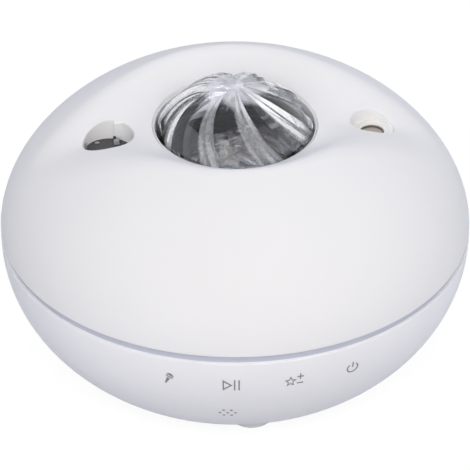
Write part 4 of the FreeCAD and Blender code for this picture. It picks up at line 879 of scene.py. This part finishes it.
rounded("leftKey", (bore["keyStart"], bore["keyFront"], bore["keyLow"]),
        (bore["keyEnd"], bore["keyBack"], bore["keyTop"]), bore["keyEdge"], "whiteCrown",
        "white_shell", 1.0, bore["keyDrop"])
for name, values in clips.items():
    rounded(name, *values)


# Stepped bezel in the right bore with a dark ring pressed on its lens, its dark brown painted
# shade at the foot of the throat (mm)

bezel = {"reach": 48.0, "outer": 7.38, "top": 84.0, "firstStep": 6.4, "secondStep": 5.45,
         "step": 0.4, "throat": 4.3, "lensHigh": 82.0, "pocket": 5.08, "low": 76.0,
         "flange": 9.9, "flangeHigh": 78.0, "steps": 144, "fillet": 0.12,
         "filletSpans": 4, "crease": 0.04, "ringGap": 0.01, "ringInner": 3.95,
         "ringHigh": 82.7, "ringEdge": 0.14, "ringFall": 0.12, "ringSteps": 96}


def makeBezel():
    edge = bezel["fillet"]
    high = bezel["top"]
    profile = [(bezel["outer"], bezel["flangeHigh"]), (bezel["outer"], high)]
    crease = bezel["crease"]
    for radius in (bezel["firstStep"], bezel["secondStep"]):
        profile += bendRound((radius + edge, high - edge), edge, 90, 180,
                             bezel["filletSpans"])
        high -= bezel["step"]
        profile += [(radius, high + crease), (radius - crease, high)]
    profile += bendRound((bezel["throat"] + edge, high - edge), edge, 90, 180,
                         bezel["filletSpans"])
    profile += [(bezel["throat"], bezel["lensHigh"]), (bezel["pocket"], bezel["lensHigh"]),
                (bezel["pocket"], bezel["low"]), (bezel["flange"], bezel["low"]),
                (bezel["flange"], bezel["flangeHigh"]),
                (bezel["outer"], bezel["flangeHigh"])]
    return lathe("lensBezel", profile, bezel["steps"], bezel["reach"])


lensBezel = makeBezel()
smoothShade(lensBezel, 30)
dress(lensBezel, "creamPlastic")
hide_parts("lens_bezel")
# a thin ring on the lens, dark brown to paint the shade at the foot of the throat
ringOuter = bezel["throat"] - bezel["ringGap"]
lensRing = lathe("lensRing", [
    (ringOuter, bezel["lensHigh"]), (ringOuter, bezel["ringHigh"]),
    (bezel["throat"] - bezel["ringEdge"], bezel["ringHigh"] + bezel["crease"]),
    (bezel["ringInner"], bezel["ringHigh"] - bezel["ringFall"]),
    (bezel["ringInner"], bezel["lensHigh"]), (ringOuter, bezel["lensHigh"])],
    bezel["ringSteps"], bezel["reach"])
smoothShade(lensRing, 30)
dress(lensRing, "ringBrown")


# Black stepped ring that keeps the geared rim down and stops stray light (mm)

baffle = {"low": 72.3, "ledge": 73.8, "high": 83.0, "bore": 21.6, "outer": 27.1,
          "topRadius": 26.0, "steps": 8, "stepIn": 0.32, "stepRise": 0.12,
          "stepEase": 0.06, "turnSteps": 180}


def makeBaffle():
    profile = [(baffle["outer"], baffle["low"]), (baffle["outer"], baffle["high"]),
               (baffle["topRadius"], baffle["high"])]
    rise = (baffle["high"] - baffle["ledge"]) / baffle["steps"]
    for number in range(1, baffle["steps"] + 1):
        radius = baffle["topRadius"] - baffle["stepIn"] * (number - 1)
        high = baffle["high"] - rise * number
        profile.append((radius, high + baffle["stepRise"]))
        profile.append((radius - baffle["stepEase"], high))
        if number < baffle["steps"]:
            profile.append((radius - baffle["stepIn"] + baffle["stepEase"], high))
            profile.append((radius - baffle["stepIn"], high - baffle["stepRise"]))
    profile += [(baffle["bore"], baffle["ledge"]), (baffle["bore"], baffle["low"]),
                (baffle["outer"], baffle["low"])]
    return lathe("gearBaffle", profile, baffle["turnSteps"])


gearBaffle = makeBaffle()
smoothShade(gearBaffle, 40)
dress(gearBaffle, "blackPlastic")
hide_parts("gear_clip")


# Clear disc with waves cast in its top, turning on the ring gear (mm)

disc = {"radius": 22.7, "low": 69.3, "high": 71.3, "wave": 0.6, "rings": 60, "steps": 144,
        "plainRim": 0.5, "acrossWave": (0.9, 2.0, 0.31), "deepWave": (0.75, 1.6, 0.27)}


def swayed(main, other, pitch, sway, swayPitch):
    return math.sin(main * pitch + sway * math.sin(other * swayPitch))


def makeDisc():
    profile = [(disc["radius"] * number / disc["rings"], disc["high"])
               for number in range(disc["rings"] + 1)]
    profile += [(disc["radius"], disc["low"]), (0, disc["low"])]
    piece = lathe("rippleDisc", profile, disc["steps"])
    for vertex in piece.data.vertices:
        across, deep, high = (part / mm for part in vertex.co)
        reach = math.hypot(across, deep)
        if high > disc["high"] - near and reach < disc["radius"] - disc["plainRim"]:
            bend = swayed(across, deep, *disc["acrossWave"])
            bend += swayed(deep, across, *disc["deepWave"])
            vertex.co.z = (high - (2 - bend) * disc["wave"] / 2) * mm
    return piece


rippleDisc = makeDisc()
smoothShade(rippleDisc, 40)
dress(rippleDisc, "clearLens", "ripple_rotor")
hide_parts("ripple_disc")


# Clear dome with swirling facets (mm)

dome = {"radius": 31.0, "top": 105.6, "skirt": 27.5, "flange": 32.0, "flangeLow": 83.0,
        "flangeHigh": 85.0, "wall": 2.2, "facets": 8, "columns": 48, "crest": 28,
        "twist": -30.0, "start": -8.6, "depth": 1.7, "fold": -0.7, "ribs": 2,
        "ribDepth": 1.0, "smoothTop": 3.0, "fadeHigh": 3, "frostSide": 0.3,
        "frostSideEdge": 2, "frostSideReach": 10, "frostTop": 0.55, "frostTopReach": 10.0,
        "petal": 4.5, "petalEdge": 2.5, "skirtRows": 8, "skinRows": 60, "innerRows": 30,
        "plainHigh": 0.5}


def facetDepth(column):
    # a wide face runs in slowly, and a narrow one with a few sharp ribs comes out again
    place = column % dome["columns"]
    if place <= dome["crest"]:
        share = place / dome["crest"]
        return share * dome["depth"] + (1 - abs(2 * share - 1)) * dome["fold"]
    share = (place - dome["crest"]) / (dome["columns"] - dome["crest"])
    rib = share * dome["ribs"] % 1
    return (1 - share) * dome["depth"] + (1 - abs(2 * rib - 1)) * dome["ribDepth"]


def facetFrost(column, reach):
    # the narrow faces are frosted, and so, more lightly, is the top
    place = column % dome["columns"]
    side = 0.0
    if place > dome["crest"]:
        inside = min(place - dome["crest"], dome["columns"] - place)
        side = min(inside / dome["frostSideEdge"], 1)
        side *= dome["frostSide"] * min(reach / dome["frostSideReach"], 1)
    petal = dome["frostTopReach"] + dome["petal"] * place / dome["columns"]
    top = min(max((petal - reach) / dome["petalEdge"], 0), 1)
    return max(side, top * dome["frostTop"])


def makeDome():
    centre = dome["top"] - dome["radius"]
    skirtHigh = centre + math.sqrt(dome["radius"] ** 2 - dome["skirt"] ** 2)
    outer = [(dome["flange"], dome["flangeLow"]), (dome["flange"], dome["flangeHigh"]),
             (dome["skirt"], dome["flangeHigh"])]
    rows = dome["skirtRows"]
    for number in range(1, rows):
        outer.append((dome["skirt"],
                      dome["flangeHigh"] + (skirtHigh - dome["flangeHigh"]) * number / rows))
    first = math.asin((skirtHigh - centre) / dome["radius"])
    rows = dome["skinRows"]
    for number in range(rows + 1):
        angle = first + (math.pi / 2 - first) * number / rows
        outer.append((dome["radius"] * math.cos(angle), centre + dome["radius"] * math.sin(angle)))
    outer[-1] = (0, dome["top"])
    innerRadius = dome["radius"] - dome["wall"]
    hollow = dome["skirt"] - dome["wall"]
    innerFirst = math.acos(hollow / innerRadius)
    inner = []
    rows = dome["innerRows"]
    for number in range(rows + 1):
        angle = math.pi / 2 - (math.pi / 2 - innerFirst) * number / rows
        inner.append((innerRadius * math.cos(angle), centre + innerRadius * math.sin(angle)))
    inner[0] = (0, centre + innerRadius)
    inner += [(hollow, dome["flangeLow"])]
    count = dome["facets"] * dome["columns"]
    piece = lathe("rippleDome", outer + inner + [outer[0]], count)
    frost = [0.0] * len(piece.data.vertices)
    for vertex in piece.data.vertices:
        across, deep, high = (part / mm for part in vertex.co)
        reach = math.hypot(across, deep)
        if high < dome["flangeHigh"] + dome["plainHigh"] or reach < near:
            continue
        if high < skirtHigh:
            onSkin = reach > dome["skirt"] - near
        else:
            onSkin = math.hypot(reach, high - centre) > dome["radius"] - dome["wall"] / 2
        if not onSkin:
            continue
        angle = math.atan2(deep, across)
        column = round(angle / math.tau * count)
        fade = min((high - dome["flangeHigh"]) / dome["fadeHigh"], 1)
        share = (reach - dome["smoothTop"]) / (dome["skirt"] - dome["smoothTop"])
        fade *= math.sqrt(max(share, 0))
        out = Vector((across, deep, max(high - centre, 0))).normalized()
        sunk = vertex.co / mm - out * facetDepth(column) * fade
        lift = (high - dome["flangeHigh"]) / (dome["top"] - dome["flangeHigh"])
        turn = math.radians(dome["start"] + dome["twist"] * lift)
        vertex.co = Matrix.Rotation(turn, 3, "Z") @ sunk * mm
        frost[vertex.index] = facetFrost(column, reach)
    haze = piece.data.attributes.new("frost", "FLOAT", "POINT")
    haze.data.foreach_set("value", frost)
    return piece


rippleDome = makeDome()
smoothShade(rippleDome, 12)
dress(rippleDome, "clearDome")
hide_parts("ripple_dome")
print("dome:", len(rippleDome.data.polygons), "faces")


# Camera, floor and light

camera = {"place": (-0.1143, -0.9881, 0.7284), "ahead": (0.0946, 0.8179, -0.5675),
          "lens": 261.4, "sensor": 36.0, "farthest": 20}


def aim(thing, direction):
    thing.rotation_euler = Vector(direction).to_track_quat("-Z", "Y").to_euler()


selectNothing()
bpy.ops.object.camera_add(location=camera["place"])
lookout = bpy.context.object
lookout.name = "photoCamera"
lookout.data.lens = camera["lens"]
lookout.data.sensor_width = camera["sensor"]
lookout.data.clip_end = camera["farthest"]
aim(lookout, camera["ahead"])
bpy.context.scene.camera = lookout

stage = {"floorSize": 8.0, "floorDrop": 0.1, "floorTone": (0.68, 0.69, 0.74),
         "floorRough": 0.9, "seenTone": (0.14, 0.14, 0.143), "seenGlow": 0.9, "fill": 0.15,
         "ceiling": [(0.0, (1, 1, 1)), (0.35, (0.9, 0.9, 0.92)), (0.75, (0.2, 0.2, 0.22))]}


def eitherRay(nodes, links, first, second):
    both = newNode(nodes, "Math")
    both.operation = "MAXIMUM"
    links.new(first, both.inputs[0])
    links.new(second, both.inputs[1])
    return both.outputs["Value"]


def mixOf(nodes, links, share, first, second):
    mix = newNode(nodes, "MixShader")
    for number, source in enumerate((share, first, second)):
        links.new(source, mix.inputs[number])
    return mix.outputs["Shader"]


def makeFloor():
    selectNothing()
    bpy.ops.mesh.primitive_plane_add(size=stage["floorSize"],
                                     location=(0, 0, -stage["floorDrop"] * mm))
    floor = settle(nameNew("floor"))
    material, nodes, links, shader = newMaterial("floorPale")
    setInputs(shader, {"Base Color": (*stage["floorTone"], 1),
                       "Roughness": stage["floorRough"]})
    rays = newNode(nodes, "LightPath")
    plain = newNode(nodes, "BsdfDiffuse", {"Color": (*stage["seenTone"], 1)})
    glow = newNode(nodes, "Emission", {"Strength": stage["seenGlow"]})
    paper = newNode(nodes, "AddShader")
    links.new(plain.outputs["BSDF"], paper.inputs[0])
    links.new(glow.outputs["Emission"], paper.inputs[1])
    seen = mixOf(nodes, links, rays.outputs["Is Camera Ray"], shader.outputs["BSDF"],
                 paper.outputs["Shader"])
    # from below the floor is clear, so that the base can be looked at
    side = newNode(nodes, "NewGeometry")
    clearFloor = newNode(nodes, "BsdfTransparent")
    sided = mixOf(nodes, links, side.outputs["Backfacing"], seen, clearFloor.outputs["BSDF"])
    links.new(sided, nodes["Material Output"].inputs["Surface"])
    floor.data.materials.append(material)


def makeWorld():
    world = bpy.data.worlds.new("studio")
    bpy.context.scene.world = world
    world.use_nodes = True
    nodes = world.node_tree.nodes
    links = world.node_tree.links
    white = (1, 1, 1, 1)
    fill = setInputs(nodes["Background"], {"Color": white, "Strength": stage["fill"]})
    bright = newNode(nodes, "Background", {"Color": white, "Strength": 1.0})
    # gloss sees a bright horizon and a dimmer ceiling, as in a room with soft boxes
    heading = newNode(nodes, "TexCoord")
    parts = newNode(nodes, "SeparateXYZ")
    links.new(heading.outputs["Generated"], parts.inputs["Vector"])
    ceiling = rampOf(nodes, links, parts.outputs["Z"], stage["ceiling"])
    room = newNode(nodes, "Background")
    links.new(ceiling.outputs["Color"], room.inputs["Color"])
    rays = newNode(nodes, "LightPath")
    shown = eitherRay(nodes, links, rays.outputs["Is Camera Ray"],
                      rays.outputs["Is Transmission Ray"])
    chosen = mixOf(nodes, links, rays.outputs["Is Glossy Ray"], fill.outputs["Background"],
                   room.outputs["Background"])
    final = mixOf(nodes, links, shown, chosen, bright.outputs["Background"])
    links.new(final, nodes["World Output"].inputs["Surface"])


# each soft lamp: turn from the front, height in degrees, power and colour
lamps = {"frontHigh": (0, 40, 28.3, (1.0, 0.96, 0.91)),
         "keyLeft": (-50, 40, 20.9, (0.91, 0.94, 1.0)),
         "keyRight": (50, 40, 6.4, (1.0, 0.96, 0.96)),
         "backTop": (180, 50, 21.7, (0.8, 0.84, 1.0)),
         "sideRight": (90, 15, 16.7, (0.82, 0.89, 1.0))}
lampSet = {"size": 1.8, "reach": 2.4, "middle": 0.05}


def makeLamps():
    for name, (turn, lift, power, colour) in lamps.items():
        turn = math.radians(turn)
        lift = math.radians(lift)
        out = Vector((math.sin(turn) * math.cos(lift), -math.cos(turn) * math.cos(lift),
                      math.sin(lift)))
        selectNothing()
        bpy.ops.object.light_add(type="AREA", location=out * lampSet["reach"]
                                 + Vector((0, 0, lampSet["middle"])))
        lamp = bpy.context.object
        lamp.name = name
        lamp.data.shape = "SQUARE"
        lamp.data.size = lampSet["size"]
        lamp.data.energy = power
        lamp.data.color = colour
        aim(lamp, -out)


makeFloor()
makeWorld()
makeLamps()
scene = bpy.context.scene
scene.view_settings.view_transform = "Standard"
print("camera, floor and light set")
